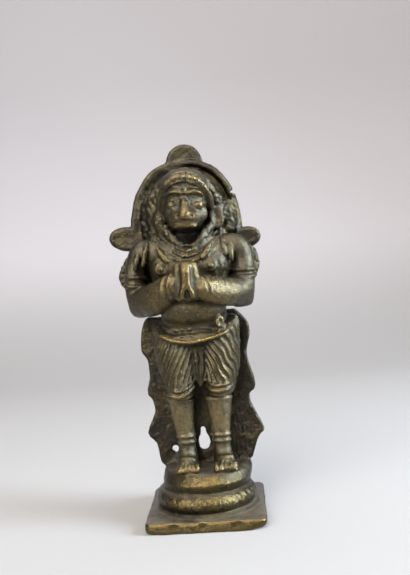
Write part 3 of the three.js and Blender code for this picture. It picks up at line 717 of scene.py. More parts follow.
TRUNK = [
    (26.5, 7.4, 3), (29, 9.2, 4.4), (30.6, 9.4, 6), (31.6, 9.2, 6.2), (32.6, 8.5, 5.4), (33.8, 8.1, 5.2),
    (35.4, 8, 5.7), (40, 8.2, 6.3), (42.5, 8.5, 6), (45.5, 9.4, 5.4), (48.5, 10.3, 5.3),
    (51.5, 10.9, 4.8), (53.8, 10.3, 3.7), (55.2, 7.6, 2.4), (56.4, 4, 1.4),
]
SASH_LOW, SASH_HIGH = 31.9, 35.2
BELT = [
    (-9, -5.2, 33.3), (-7.9, -6.9, 32.3), (-6.2, -7.9, 31.5), (-4.45, -8.3, 30.9), (-0.9, -8.6, 30.4),
    (2.7, -8.5, 30.9), (5, -8.3, 31.4), (6.8, -7.9, 32), (8.6, -6.2, 33), (9.6, -4.2, 33.8),
]
BELLY_CREASE = [(-8.6, -5.2, 37.2), (-5.8, -8.2, 35.4), (0, -9.3, 33.9), (5.8, -8.2, 35.4), (8.6, -5.2, 37.2)]
BREASTS = [(-4.9, -4.6, 48.8), (4.7, -4.6, 48.8)]
BOSSES = [(-6.85, -7.2, 48.3), (5.2, -7.6, 48.3)]
NECK = [(52, 4.2, 1.6), (58.5, 3.2, 0.8)]


def slack(angle, z):
    """Slack folds of the sash, sagging in front."""
    level = z + 1.3 * np.clip(np.sin(angle), 0, 1)
    on = ramp(level, SASH_LOW, 0.5) * ramp(level, SASH_HIGH, -0.6)
    weave = np.sin(level * 7.5 + 2.2 * np.sin(5 * angle)) * np.sin(17 * angle + 2.4 * level)
    return on * (0.22 * np.sin(level * 4.4 + 1.6 * np.sin(3 * angle)) + 0.3 * weave)


def trunk(clay):
    clay.add(column(TRUNK, -2.2, 5, cap=0.8, relief=slack), 0.3)
    # round belly over the sash
    clay.add(ball((0, -4.2, 38.6), (8.1, 5.9, 4.9)), 0.3)
    clay.carve(tube(BELLY_CREASE, 0.45), 0.3)
    clay.add(rough(tube(np.array(BELT) + (0, 1.5, 0.1), 1.05), 0.16, 0.9, 51), 0.5)
    clay.add(tube(BELT, 0.36), 0.25)
    # knot of the sash on the hip
    clay.add(ball((6.3, -6.7, 34.9), (1, 0.7, 1.4)), 0.4)
    clay.add(hoop((6.4, -7.15, 34.9), 0.8, 1.2, (0, 0, 35), 0.27), 0.3)
    clay.carve(ball((6.6, -7.6, 34.9), (0.45, 0.7, 0.75)), 0.15)
    for centre in BREASTS:
        clay.add(rough(ball(centre, (4.4, 2.9, 3.4)), 0.09, 1.3, 50), 0.8)
    for x, front, z in BOSSES:
        clay.add(ball((x, front + 0.4, z), (1.5, 0.75, 1.5)), 0.3)
        clay.carve(hoop((x, front - 0.35, z), 0.98, 0.98, (0, 0, 0), 0.38), 0.12)
        clay.add(ball((x, front - 0.1, z), (0.6, 0.4, 0.6)), 0.12)


def neck(clay):
    clay.add(column(NECK, -2.6, 4.4), 0.5)


# Arms and hands

LEFT_UPPER_ARM = [
    (-6, -2, 52.6, 2.4), (-9.5, -1.6, 53.3, 2.9), (-12, -1.5, 52.6, 3), (-13.5, -1.3, 50, 2.65),
    (-13.8, -1.6, 47.3, 2.7), (-13.9, -2, 44.5, 2.6), (-13.6, -2.6, 42, 2.6), (-12.8, -3.6, 41, 2.6),
]
RIGHT_UPPER_ARM = [
    (6, -2, 52.6, 2.4), (9.3, -1.6, 53.3, 2.9), (11.8, -1.5, 52.6, 3), (12.8, -1.3, 50, 2.8),
    (13, -1.8, 47.2, 2.75), (12.9, -2.4, 44.8, 2.7), (12.4, -3.4, 42.8, 2.9), (11.4, -5, 42, 2.9),
]
# The forearms are taller than they are deep.
LEFT_FOREARM = [
    (-13.2, -3.2, 40.4, 2.6), (-11.4, -4.9, 40.8, 2.8), (-8.4, -7.6, 41.5, 2.95), (-6.3, -9.5, 42.6, 2.7),
    (-4.4, -10.9, 43.6, 2.3), (-3.4, -11.6, 44, 2),
]
RIGHT_FOREARM = [
    (12.5, -3.5, 41.5, 2.55), (11.2, -5.1, 41.6, 2.6), (9, -7.3, 41.8, 2.55), (7, -9, 42, 2.45),
    (5.2, -10.5, 42.4, 2.35), (4, -11.3, 42.7, 2.1), (3, -11.9, 43.1, 1.85),
]
# The right elbow is squarish.
ELBOW = [(38.1, 2.2, 2), (39, 2.6, 2.5), (41.5, 2.75, 2.7), (44, 2.7, 2.6), (45.2, 2.4, 2.3)]
FOREARM_SQUASH = (1, 1, 0.74)
ARMLETS = [
    ((-13.65, -1.8, 47.1), 2.75, (94, 6, 0)), ((-13.8, -2.1, 44.95), 2.75, (98, 4, 0)),
    ((13, -1.9, 47.25), 2.8, (98, 1, 0)), ((12.95, -2.3, 45.55), 2.85, (100, 1, 0)),
]
ARMLET_GROOVES = [((-13.7, -2, 46.05), 2.75, (96, 5, 0)), ((13, -2.1, 46.4), 2.85, (99, 1, 0))]
CUFFS = [
    ((-5, -10.5, 43.2), 2.35, 3.2, (0, 0, 52)), ((-3.6, -11.5, 43.9), 2.1, 2.9, (0, 0, 58)),
    ((4.1, -11.2, 42.8), 2, 2.8, (0, 0, -58)), ((3, -12, 43.1), 1.8, 2.5, (0, 0, -62)),
]
# The joined hands: rings of the thumbs' side in front and of the backs of the hands behind it
PALM_EDGE = [
    (40.8, 1.7, 1.7), (43, 1.5, 2), (46.4, 1.4, 2.3), (47.8, 1.35, 2.1), (48.8, 1.15, 1.5), (49.4, 0.8, 0.8),
]
HAND_BACKS = [
    (40.2, 2.8, 1.5), (42.5, 3.1, 1.9), (46.4, 3.1, 1.9), (48, 2.95, 1.8), (49.1, 2.6, 1.4), (49.8, 2, 0.9),
]
V_LEG = [(0.6, -14.3, 43.6), (1.15, -14.1, 42.2), (1.6, -13.7, 41)]


def arms(clay):
    for upper, fore in ((LEFT_UPPER_ARM, LEFT_FOREARM), (RIGHT_UPPER_ARM, RIGHT_FOREARM)):
        for stations, squash in ((upper, (1, 1, 1)), (fore, FOREARM_SQUASH)):
            stations = np.array(stations)
            low, high, distance = tube(stations[:, :3], stations[:, 3], squash=squash)
            clay.add((low - (0, 0, 1), high + (0, 0, 1), distance), 0.35)
    clay.add(column(ELBOW, -2.9, 2, x=12.1, cap=0.9, power=2.6), 0.8)
    for centre, radius, turn in ARMLETS:
        clay.add(hoop(centre, radius, radius, turn, 0.48), 0.15)
    for centre, radius, turn in ARMLET_GROOVES:
        clay.carve(hoop(centre, radius, radius, turn, 0.2), 0.2)
    for centre, wide, high, turn in CUFFS:
        clay.add(hoop(centre, wide, high, turn, 0.34), 0.45)


def hands(clay):
    clay.add(column(HAND_BACKS, -11.6, 2.5, x=-0.4, cap=1.4, power=3.2), 0.2)
    clay.add(column(PALM_EDGE, -12.55, 2.5, x=-0.35, cap=0.6, power=2.4), 0.6)
    for side, x, radius in ((-1, -1.85, 0.05), (1, 1.15, 0.14)):
        # the thumbs' side stands a little apart from the backs of the hands
        groove = [(x, -13.7, 41.5), (x * 0.97, -13.8, 45.5), (x * 0.93, -13.6, 48)]
        clay.carve(tube(groove, radius), 0.4)
        # below, the hands part like an upturned V with thin legs
        leg = [(side * across - 0.3, y, z) for across, y, z in V_LEG]
        clay.add(tube(leg, [0.3, 0.34, 0.28]), 0.6)
    clay.carve(ball((-0.3, -15.2, 40.6), (1, 2.4, 2.5)), 0.25)
    clay.carve(ball((-0.2, -14.2, 38.8), (1.9, 2.6, 1.5)), 0.4)


# Head

HEAD = [
    (57, 2.4, 3, -0.2), (58.2, 3.7, 4.4, -0.2), (59.8, 4.6, 5.2, -0.2), (62, 5.3, 5.4, -0.2),
    (64, 5.6, 5.4, 0), (66.2, 5.8, 5.7, 0.1), (68.4, 5.9, 5.5, 0.1), (70.2, 5.3, 4.8, 0.1),
    (71.4, 4.2, 3.8, 0.1), (72.2, 2.6, 2.2, 0.1),
]
MUZZLE = [
    (57.2, 2, 2.4), (57.9, 3.2, 3.8), (58.8, 3.7, 4.4), (59.8, 3.9, 4.5), (61.2, 3.6, 3.6), (62.6, 2.9, 2.2),
    (63.6, 1.8, 1.2),
]
FACE = 0.3
EYE_TILT = 0.08
NOSE = [(0.1, -8, 64.6), (0.15, -9, 63), (0.2, -9.8, 61.6), (0.3, -10.4, 60.4), (0.35, -10.4, 59.9)]
NOSE_RADII = [0.75, 1.05, 1.3, 1.5, 1.25]
NOSTRIL_FOLD = [(2.5, -10.4, 61), (3.2, -9.9, 60), (3.5, -9.2, 58.9)]
# Round an eye, as points, radii and blend: the upper lid, the slit, the lower lid and the bag below
UPPER_LID = [(4.6, -7, 63.3), (3.4, -8.5, 64.15), (1.8, -8.7, 63.6)], [0.18, 0.25, 0.18], 0.15
SLIT = [(4.4, -7.7, 63), (3.2, -8.85, 63.6), (1.9, -9, 63.1)], [0.12, 0.18, 0.12], 0.1
LOWER_LID = [(4.5, -7.2, 62.3), (3.2, -8.5, 62), (2, -8.8, 62.4)], [0.15, 0.2, 0.15], 0.15
EYE_BAG = [(4.5, -6.9, 61.6), (3.5, -8.1, 60.9), (2.5, -8.9, 61.2)], [0.2, 0.26, 0.2], 0.3
BROW = [(4.7, -6.9, 65.3), (3.5, -8.4, 65.9), (2.1, -8.9, 66), (0.6, -9, 65.7)]
# Folds of the forehead, as (height, reach)
FOLDS = [(67.1, 3.9), (68, 3.2)]
MOUTH = [(-2.6, -9.7, 58.75), (-0.9, -10.9, 58.95), (0.8, -11.05, 58.85), (3, -9.9, 58.4)]
LOWER_LIP = [(-2.3, -9.4, 57.95), (FACE, -10.2, 57.75), (2.5, -9.4, 57.75)]


def beside(side, x, y, z):
    """A point of the face by its distance from the middle; the left side sits a little higher."""
    return (FACE + side * x, y, z - side * EYE_TILT * x)


def line(side, points, radii):
    return tube([beside(side, *point) for point in points], radii)


def nose(clay):
    clay.add(tube(NOSE, NOSE_RADII), 0.5)
    for side in (-1, 1):
        clay.add(ball(beside(side, 1.45, -10.1, 60.2), (1.05, 0.9, 0.85)), 0.4)
        clay.carve(ball(beside(side, 1.7, -11, 60.2), (0.48, 0.8, 0.42)), 0.12)
        clay.carve(line(side, NOSTRIL_FOLD, [0.1, 0.13, 0.1]), 0.25)


def eye(clay, side):
    # hollows under the brow and beside the nose, then the eyeball
    clay.carve(ball(beside(side, 2.8, -9.2, 64.8), (1.8, 1, 0.55)), 0.3)
    clay.carve(ball(beside(side, 1.5, -9.5, 63), (0.6, 1.1, 1.3)), 0.35)
    clay.add(ball(beside(side, 3.1, -7.8, 63), (1.3, 0.85, 0.95)), 0.15)
    for change, (points, radii, blend) in (
        (clay.add, UPPER_LID), (clay.carve, SLIT), (clay.add, LOWER_LID), (clay.add, EYE_BAG),
    ):
        change(line(side, points, radii), blend)


def brow(clay, side):
    clay.add(line(side, BROW, [0.3, 0.42 + 0.1 * side, 0.4, 0.3]), 0.35)
    for height, reach in FOLDS:
        fold = [(reach, -7.6, height - 0.2), (2.4, -8.6, height), (1.1, -8.9, height - 0.1)]
        clay.add(line(side, fold, [0.12, 0.22, 0.14]), 0.3)


def face(clay):
    clay.add(column(HEAD, -3.2, 5, cap=0.8), 0.3)
    clay.add(column(MUZZLE, -6.4, 3, cap=0.4, power=2.3), 0.5)
    for side in (-1, 1):
        clay.add(ball(beside(side, 3.3, -6.4, 61.3), (1.9, 1.6, 2.2)), 0.8)
    nose(clay)
    for side in (-1, 1):
        eye(clay, side)
        brow(clay, side)
    # mark on the brow
    clay.add(hoop((FACE - 0.25, -9.1, 66.4), 0.6, 0.65, (0, 0, 0), 0.17), 0.12)
    clay.add(tube(LOWER_LIP, [0.3, 0.4, 0.3]), 0.6)
    clay.carve(tube(MOUTH, [0.2, 0.3, 0.3, 0.2]), 0.1)


# Tufts of hair beside the head, as (centre, radii, rise, wave, seed, blend)
SIDE_HAIR = [
    ((-7.9, -0.9, 62.6), (2, 2, 5.6), 0.17, 1.2, 12, 0.6),
    ((-7.5, -1.2, 57.6), (2.3, 1.8, 2.6), 0.17, 1.2, 13, 0.6),
    ((7.7, -0.9, 62.4), (1.7, 1.5, 4.6), 0.22, 1.6, 14, 0.5),
]
OUTER_HAIR = [
    ((9.9, -1.2, 57.6), (1.1, 1.2, 1), 0.1, 1, 17, 0.4),
    ((7.9, -1.3, 56.8), (1.6, 1.3, 1.4), 0.12, 1.1, 21, 0.5),
    ((-6.6, -3, 60.2), (1.6, 1.5, 3), 0.14, 1.1, 15, 0.6),
    ((-5.6, -2.7, 57.2), (1.9, 1.3, 1.6), 0.14, 1.1, 18, 0.6),
    ((-9.3, 0.7, 61), (2.6, 1.4, 6.4), 0.15, 1.3, 19, 1.2),
    ((10.2, 0.6, 60.6), (2, 1.5, 4.6), 0.2, 1.2, 20, 0.9),
]
ARCH_POINTS = 14


def arch(wide, low, high, y, lean):
    """Points over the head from one side to the other, leaning forward towards the top."""
    angles = np.linspace(0, math.pi, ARCH_POINTS)
    up = np.sin(angles)
    return np.column_stack([wide * np.cos(angles), y + lean * up, low + (high - low) * up**0.9])


def tufts(clay, table):
    for centre, radii, rise, wave, seed, blend in table:
        clay.add(rough(ball(centre, radii), rise, wave, seed), blend)


def headband(clay):
    def divisions(place, angle):
        middle = place - 10.2
        return 0.24 * np.cos(middle * math.tau / 1.15) * np.clip(1.2 - np.abs(middle) / 3.0, 0, 1)

    clay.add(tube(arch(6.25, 62.8, 69.5, -3.6, -5.1), 0.98, 3, divisions), 0.2)
    clay.add(tube(arch(6.8, 62.4, 70.9, -3, -4.8), 0.36, 3), 0.2)
    clay.add(tube(arch(5.45, 63.2, 68.5, -4.4, -5), 0.26, 3), 0.15)


def hair(clay):
    """A roll of locks round the head, rougher and fuller beside the face, with the ear ring in it."""
    roll = tube(arch(7.7, 60.6, 71.7, -1.2, -3.4), 0.95, 3, strands(0.1, 1.4, 1.3))
    clay.add(rough(roll, 0.18, 1.7, 11), 0.35)
    tufts(clay, SIDE_HAIR)
    # a large hollow ear ring on the right; the left one is lost in the hair
    clay.add(ball((7.4, -3, 60.1), (1.7, 0.9, 2.7)), 0.3)
    clay.add(hoop((7.45, -3.5, 60.1), 1.35, 2.3, (0, 0, 8), 0.5), 0.25)
    clay.carve(ball((7.45, -4.3, 60.2), (0.75, 0.9, 1.6)), 0.25)
    tufts(clay, OUTER_HAIR)
    # a curl above the ear ring
    turns = zip(np.radians(np.arange(0, 541, 45)), np.linspace(1, 0.15, 13))
    swirl = [(7.6 + 1.1 * r * math.cos(a), -2.7, 64.8 + 1.4 * r * math.sin(a)) for a, r in turns]
    clay.add(tube(swirl, 0.26, 2), 0.3)


# Dress


def necklace(clay, wide, high, low, y, radius, seed):
    """A cord that hangs from the shoulders in a deep curve over the chest, its strands worn down."""
    side = high - 0.58 * (high - low)
    half = [(0.62 * wide, y + 1.6, side), (wide, -2.6, high)]
    points = [(-x, depth, z) for x, depth, z in half[::-1]] + [(0, y, low)] + half
    cord = tube(points, radius, 5, strands(0.07, 0.9, 2))
    clay.add(rough(cord, 0.15, 1, seed), 0.3)


NECKLACES = [(6, 57, 53.4, -6.8), (6.8, 56.6, 52.2, -7.1), (7.8, 56, 50.9, -7.4), (8.9, 55.4, 49.5, -7.7)]
LAPPETS = [
    [(-14.2, 0.5, 53.6), (-16.2, 0.2, 50.6), (-17.4, 0, 47.6), (-17.2, -0.2, 45.6)],
    [(13.8, 0.5, 53.4), (15.6, 0.3, 51.4), (16.2, 0.1, 48.6), (15.9, -0.1, 46.6)],
]
# The ends of the ties over the shoulders, each from its top to its tip
TIES = [
    [(-10, -3.8, 55), (-10.5, -4.8, 52.6), (-11.1, -5.1, 49.9)],
    [(-12.2, -3.6, 53.2), (-12.7, -4.7, 51), (-13.2, -4.8, 48.8)],
    [(8.1, -3.8, 54.8), (8.5, -5, 52.8), (9, -5.2, 50.8)],
    [(9.9, -3.8, 54.2), (10.2, -4.9, 52), (10.2, -5.1, 49.6)],
    [(-7.3, -5.7, 53.4), (-6.4, -6.9, 51.8), (-5, -7.5, 50)],
    [(5.4, -6.3, 53.4), (4.6, -7.2, 51.9), (3.5, -7.7, 50.4)],
]
TIE_CREASES = [
    [(-9, -4.4, 54.2), (-9.3, -5.4, 51.6), (-9.9, -5.6, 49)],
    [(8.9, -4.9, 51.9), (9.5, -5.2, 50), (10.9, -4.9, 47.9)],
]
COLLAR = [
    [(-5.6, -3.15, 58.2), (-4, -4.75, 56.2), (-2.7, -5.75, 54.6), (-1.4, -6.35, 53.6)],
    [(5.6, -3.35, 58), (4, -4.95, 56.2), (2.8, -5.75, 54.6), (1.6, -6.35, 53.6)],
]
TAIL = [
    (0, 2.8, 29.5), (1.4, 3.1, 35), (2.2, 3, 43), (1.6, 3.3, 52), (0, 3.3, 62),
    (-1.4, 3.3, 69), (-0.6, 3.3, 73.4),
]
TAIL_RADII = [1.3, 1.2, 1.1, 1, 0.9, 0.8, 0.75]


def dress(clay):
    for seed, points in enumerate(COLLAR, 40):
        clay.add(rough(tube(points, [1.1, 1.15, 0.95, 0.6]), 0.14, 1.1, seed), 0.7)
    for k, (wide, high, low, y) in enumerate(NECKLACES):
        necklace(clay, wide, high, low, y, 0.36, 20 + k)
    for points in TIES:
        clay.add(rough(tube(points, [0.5, 0.74, 0.58]), 0.1, 1, 31), 0.2)
    for points in TIE_CREASES:
        clay.carve(tube(points, [0.12, 0.25, 0.15]), 0.3)
    for points in LAPPETS:
        clay.add(rough(tube(points, [0.7, 0.85, 0.85, 0.65]), 0.12, 1.2, 30), 0.25)
    clay.add(rough(ball((-15.5, -0.5, 46.6), (1.4, 0.9, 1.8)), 0.1, 1, 32), 0.3)


def tail(clay):
    clay.add(tube(TAIL, TAIL_RADII, 5, strands(0.1, 2, 1)), 0.4)


def sculpt():
    clay = Clay()
    parts = (
        plinth, round_base, halo, back_sheet, legs, trunk, arms, hands, neck, dress, face, headband, hair,
        tail, casting_holes,
    )
    for part in parts:
        part(clay)
    clay.soften()
    clay.field += 0.1 * clay.noise(3.2) + 0.05 * clay.noise(1.1) + 0.03 * clay.noise(0.5)
    # the underside stays flat
    clay.field = np.maximum(clay.field, (UNDERSIDE - clay.axes[2])[None, None, :]).astype(np.float32)
    return clay


# Mesh


def box_blur(values, radius):
    """Mean of the values within a box of cells, twice over for a round falloff."""
    width = 2 * radius + 1
    for axis in np.repeat(range(3), 2):
        moved = np.moveaxis(values, axis, 0)
        ends = np.repeat(moved[:1], radius + 1, 0), np.repeat(moved[-1:], radius, 0)
        total = np.cumsum(np.concatenate([ends[0], moved, ends[1]]), axis=0, dtype=np.float64)
        moved = ((total[width:] - total[:-width]) / width).astype(np.float32)
        values = np.moveaxis(moved, 0, axis)
    return values


def sample(values, cells):
    """Values at fractional cells of the grid."""
    top = np.array(values.shape) - 2
    whole = np.clip(np.floor(cells).astype(int), 0, top)
    part = np.clip(cells - whole, 0, 1).astype(np.float32)
    total = 0
    for corner in np.ndindex(2, 2, 2):
        weight = np.prod([part[:, k] if corner[k] else 1 - part[:, k] for k in range(3)], axis=0)
        total = total + weight * values[tuple(whole[:, k] + corner[k] for k in range(3))]
    return total


def placed(name, data):
    thing = bpy.data.objects.new(name, data)
    bpy.context.scene.collection.objects.link(thing)
    return thing


def mesh_of(clay, name):
    grid = openvdb.FloatGrid(FAR)
    grid.copyFromArray(np.ascontiguousarray(clay.field))
    points, quads = grid.convertToQuads(isovalue=0.0)
    shares = np.array([axis[0] for axis in clay.axes]) + points * STEP
    metres = (shares * SHARE + (0, 0, DRUM_TOP)) * METRES
    mesh = bpy.data.meshes.new(name)
    mesh.vertices.add(len(metres))
    mesh.vertices.foreach_set("co", metres.astype(np.float32).ravel())
    mesh.loops.add(4 * len(quads))
    mesh.loops.foreach_set("vertex_index", quads[:, ::-1].astype(np.int32).ravel())
    mesh.polygons.add(len(quads))
    mesh.polygons.foreach_set("loop_start", np.arange(0, 4 * len(quads), 4, dtype=np.int32))
    mesh.update(calc_edges=True)
    piece = placed(name, mesh)

    thin = piece.modifiers.new("thin", "DECIMATE")
    thin.ratio = min(1.0, MOST_TRIANGLES / (2 * len(quads)))
    evaluated = piece.evaluated_get(bpy.context.evaluated_depsgraph_get())
    piece.data = bpy.data.meshes.new_from_object(evaluated)
    piece.modifiers.clear()
    piece.data.polygons.foreach_set("use_smooth", np.ones(len(piece.data.polygons), bool))
    return piece


# Reach, in cells, of the neighbours that a point is measured against
REACHES = {"near": 2, "middle": 5, "wide": 14}


def mark_wear_and_shade(clay, piece):
    """How high or sunken each point is among its neighbours, near and wide, and how open it is to the room,
    as attributes for the finish and its painted shade.
    """
    co = np.zeros(3 * len(piece.data.vertices), np.float32)
    piece.data.vertices.foreach_get("co", co)
    shares = (co.reshape(-1, 3) / METRES - (0, 0, DRUM_TOP)) / SHARE
    cells = (shares - np.array([axis[0] for axis in clay.axes])) / STEP
    filled = np.clip(0.5 - clay.field / (2 * STEP), 0, 1)
    for name, radius in REACHES.items():
        save(piece, name, sample(box_blur(filled, radius), cells))
    normals = np.zeros_like(co)
    piece.data.vertices.foreach_get("normal", normals)
    save(piece, "open", openness(clay, cells, normals.reshape(-1, 3)))


def save(piece, name, values):
    attribute = piece.data.attributes.new(name, "FLOAT", "POINT")
    attribute.data.foreach_set("value", values.astype(np.float32))


# Looks out from a point, the first look's length in cells, and how the looks grow
DIRECTIONS, LOOKS, FIRST_LOOK, LOOK_GROWTH = 36, 14, 2.5, 1.3


def openness(clay, cells, normals):
    """Share of the room that each point sees past the rest of the casting, 1 where nothing is near."""
    turns = np.arange(DIRECTIONS) * math.pi * (3 - math.sqrt(5))
    heights = 1 - (2 * np.arange(DIRECTIONS) + 1) / DIRECTIONS
    flat = np.sqrt(1 - heights**2)
    directions = np.column_stack([flat * np.cos(turns), flat * np.sin(turns), heights])
    top = np.array(clay.field.shape) - 1
    starts = cells + normals * FIRST_LOOK
    seen = np.zeros(len(cells))
    whole = np.zeros(len(cells))
    for direction in directions:
        facing = np.clip(normals @ direction, 0, 1)
        used = np.flatnonzero(facing > 0.05)
        free = np.ones(len(used), bool)
        for reach in FIRST_LOOK * LOOK_GROWTH ** np.arange(LOOKS):
            spots = np.rint(starts[used] + direction * reach).astype(int)
            inside = np.all((spots >= 0) & (spots <= top), axis=1)
            x, y, z = np.clip(spots, 0, top).T
            free &= ~(inside & (clay.field[x, y, z] < 0))
        seen[used] += facing[used] * free
        whole[used] += facing[used]
    return seen / np.maximum(whole, SMALL)


# Material


# Patina, bare metal, and what lies on them; the bare gold also serves as painted highlight and painted light,
# and the dark dirt also as painted shade and painted shadow
BROWN, OLIVE, GOLD_AND_PAINTED_HIGHLIGHT = (0.092, 0.072, 0.04, 1), (0.32, 0.25, 0.078, 1), (0.72, 0.49, 0.115, 1)
DIRT_AND_SHADE, DUST = (0.018, 0.016, 0.013, 1), (0.11, 0.096, 0.077, 1)
# Fineness of the stains, the mottling, the pores and the grain, per metre
STAINS, MOTTLING, PORES, GRAIN = 150, 1150, 2600, 800
BUMP_STRENGTH, BUMP_HEIGHT = 0.85, 0.38
# Places in millimetres over which a finish comes in, each from none to full
FORWARD, FRONT = (-2.5, -11.5), (1.5, -5)
ABOVE_BASE, ON_BASE = (12, 14), (13.4, 11.8)
ABOVE_ANKLES, BELOW_HEMS = (16.5, 20.5), (31, 28)
# the border places give where the halo's right border takes a painted highlight
BORDER_RIGHT, BORDER_LOW, BORDER_HIGH = (11, 12), (68, 71), (80, 78.5)
# Share of each attribute in how high a point stands
HEIGHT_SHARES = [("near", -1.7), ("middle", -1.8), ("wide", -0.4)]
# Middle of the painted shadow under the chin, and how far from it the painted shadow comes in
THROAT, THROAT_SHADOW_REACH = (0.2, -4.6, 68.6), (4.6, 2.8)


class Nodes:
    """A material's node tree, with short calls for what goes into it."""

    def __init__(self, name):
        self.material = bpy.data.materials.new(name)
        self.material.use_nodes = True
        self.tree = self.material.node_tree
        self.shader = self.tree.nodes["Principled BSDF"]
        self.place = self.make("TexCoord").outputs["Object"]
        self.x, self.y, self.z = self.parts(self.place)

    def make(self, kind, inputs=(), **settings):
        node = self.tree.nodes.new("ShaderNode" + kind)
        for key, value in settings.items():
            setattr(node, key, value)
        for key, value in dict(inputs).items():
            self.put(node.inputs[key], value)
        return node

    def put(self, socket, value):
        if isinstance(value, bpy.types.NodeSocket):
            self.tree.links.new(value, socket)
        else:
            socket.default_value = value

    def parts(self, vector):
        return self.make("SeparateXYZ", {0: vector}).outputs

    def math(self, operation, total, *values):
        """The operation taken over all the values in turn."""
        for value in values:
            total = self.make("Math", {0: total, 1: value}, operation=operation).outputs[0]
        return total

    def add(self, *values):
        return self.math("ADD", *values)

    def times(self, *values):
        return self.math("MULTIPLY", *values)

    def swing(self, value, size):
        """A value from 0 to 1 as a swing about zero."""
        return self.times(self.math("SUBTRACT", value, 0.5), size)

    def span(self, value, low, high, to_low=0.0, to_high=1.0):
        inputs = {"Value": value, "From Min": low, "From Max": high, "To Min": to_low, "To Max": to_high}
        return self.make("MapRange", inputs, interpolation_type="SMOOTHSTEP").outputs[0]

    def within(self, value, limits):
        """How far a length has come between two limits in millimetres."""
        return self.span(value, limits[0] * METRES, limits[1] * METRES)

    def mix(self, share, a, b):
        return self.make("Mix", {0: share, 6: a, 7: b}, data_type="RGBA").outputs[2]

    def noise(self, scale, detail, roughness, distortion=0.0):
        inputs = {"Vector": self.place, "Scale": scale, "Detail": detail, "Roughness": roughness}
        return self.make("TexNoise", {**inputs, "Distortion": distortion}).outputs[0]

    def attribute(self, name):
        return self.make("Attribute", attribute_type="GEOMETRY", attribute_name=name).outputs["Fac"]


def wear_and_painted_light(n, uneven, front, shins):
    """Raised places that stand forward are worn bright by rubbing, and sunken ones darkened; the halo's right
    border and the shins' fronts get painted light, and places hidden from the room a painted shade.
    """
    high = n.add(*(n.swing(n.attribute(name), size) for name, size in HEIGHT_SHARES))
    forward = n.within(n.y, FORWARD)
    # the halo's border on the right is painted gold, a painted highlight
    border = n.times(n.within(n.x, BORDER_RIGHT), n.within(n.z, BORDER_LOW), n.within(n.z, BORDER_HIGH))
    touched_and_painted_light = n.times(high, n.add(0.55, n.times(forward, 0.4)))
    # besides forward places worn bright, the shins' fronts and the halo's right border are painted gold as
    # painted light
    touched_and_painted_light = n.add(touched_and_painted_light, n.times(forward, 0.62), n.times(shins, front, 0.6), n.times(border, 0.5))
    rubbed_and_painted_light = n.span(n.add(touched_and_painted_light, uneven), 0.52, 1.05)
    sunken = n.span(n.add(n.times(high, -1.0), n.times(uneven, -0.4)), 0.05, 0.7)
    # places the room can hardly see are darkened, a painted shade
    painted_shade = n.span(n.add(n.attribute("open"), n.times(uneven, 0.12)), 0.3, 0.06, 0.0, 0.88)
    return rubbed_and_painted_light, sunken, painted_shade


# a painted shadow under the chin, darkest at the throat
def painted_throat_shadow(n, uneven):
    inputs = {0: n.place, 1: Vector(THROAT) * METRES}
    throat = n.make("VectorMath", inputs, operation="DISTANCE").outputs["Value"]
    return n.times(n.within(n.add(throat, n.times(uneven, METRES)), THROAT_SHADOW_REACH), 0.6)


def dust(n, tint):
    """Dust that lies on the base where it faces up."""
    upward = n.parts(n.make("NewGeometry").outputs["Normal"])["Z"]
    lying = n.times(n.span(upward, 0.7, 0.98), n.within(n.z, ON_BASE))
    return n.times(lying, n.span(tint, 0.3, 0.6, 0.25, 0.6))


def aged_brass():
    n = Nodes("aged_brass")
    stains, mottling, pores = n.noise(STAINS, 5, 0.6, 0.4), n.noise(MOTTLING, 5, 0.75), n.noise(PORES, 3, 0.6)
    uneven = n.add(n.swing(mottling, 1.6), n.swing(stains, 1.1), n.swing(pores, 0.6))
    front = n.within(n.y, FRONT)
    shins = n.times(n.within(n.z, ABOVE_ANKLES), n.within(n.z, BELOW_HEMS))
    above_base = n.within(n.z, ABOVE_BASE)
    rubbed_and_painted_light, sunken, painted_shade = wear_and_painted_light(n, uneven, front, shins)

    tint = n.add(stains, n.swing(mottling, 1.1))
    patina = n.mix(n.span(n.add(tint, n.times(front, 0.2)), 0.46, 0.7), BROWN, OLIVE)
    colour = n.mix(rubbed_and_painted_light, patina, GOLD_AND_PAINTED_HIGHLIGHT)
    colour = n.mix(n.span(pores, 0.45, 0.36, 0.0, 0.75), colour, DIRT_AND_SHADE)
    pitted = n.times(above_base, n.span(mottling, 0.49, 0.44, 0.0, 0.8))
    # sunken places and pits are darkened, and places hidden from the room get a painted shade
    colour = n.mix(n.math("MAXIMUM", sunken, painted_shade, pitted), colour, DIRT_AND_SHADE)
    # a painted shadow under the chin
    colour = n.mix(painted_throat_shadow(n, uneven), colour, DIRT_AND_SHADE)
    lying = dust(n, tint)
    # the oxide skin is a little dull, most on the shins
    dull = n.times(front, n.add(n.times(above_base, 0.24), n.times(shins, 0.4)))
    polish = n.span(rubbed_and_painted_light, 0, 1, 0.33, 0.22)
    rough = n.add(polish, n.times(sunken, 0.3), n.swing(mottling, 0.3), n.times(lying, 0.3))
    grain = n.add(n.times(n.noise(GRAIN, 5, 0.7), 0.6), n.times(pores, 0.4))
    inputs = {"Strength": BUMP_STRENGTH, "Distance": BUMP_HEIGHT * METRES, "Height": grain}
    bump = n.make("Bump", inputs).outputs[0]
    for name, value in (
        ("Base Color", n.mix(lying, colour, DUST)),
        ("Metallic", n.math("SUBTRACT", 1.0, n.math("MAXIMUM", lying, dull))),
        ("Roughness", rough),
        ("Normal", bump),
        ("Coat Normal", bump),
        ("Coat Weight", 0.15),
        ("Coat Roughness", 0.22),
    ):
        n.put(n.shader.inputs[name], value)
    return n.material


# Room


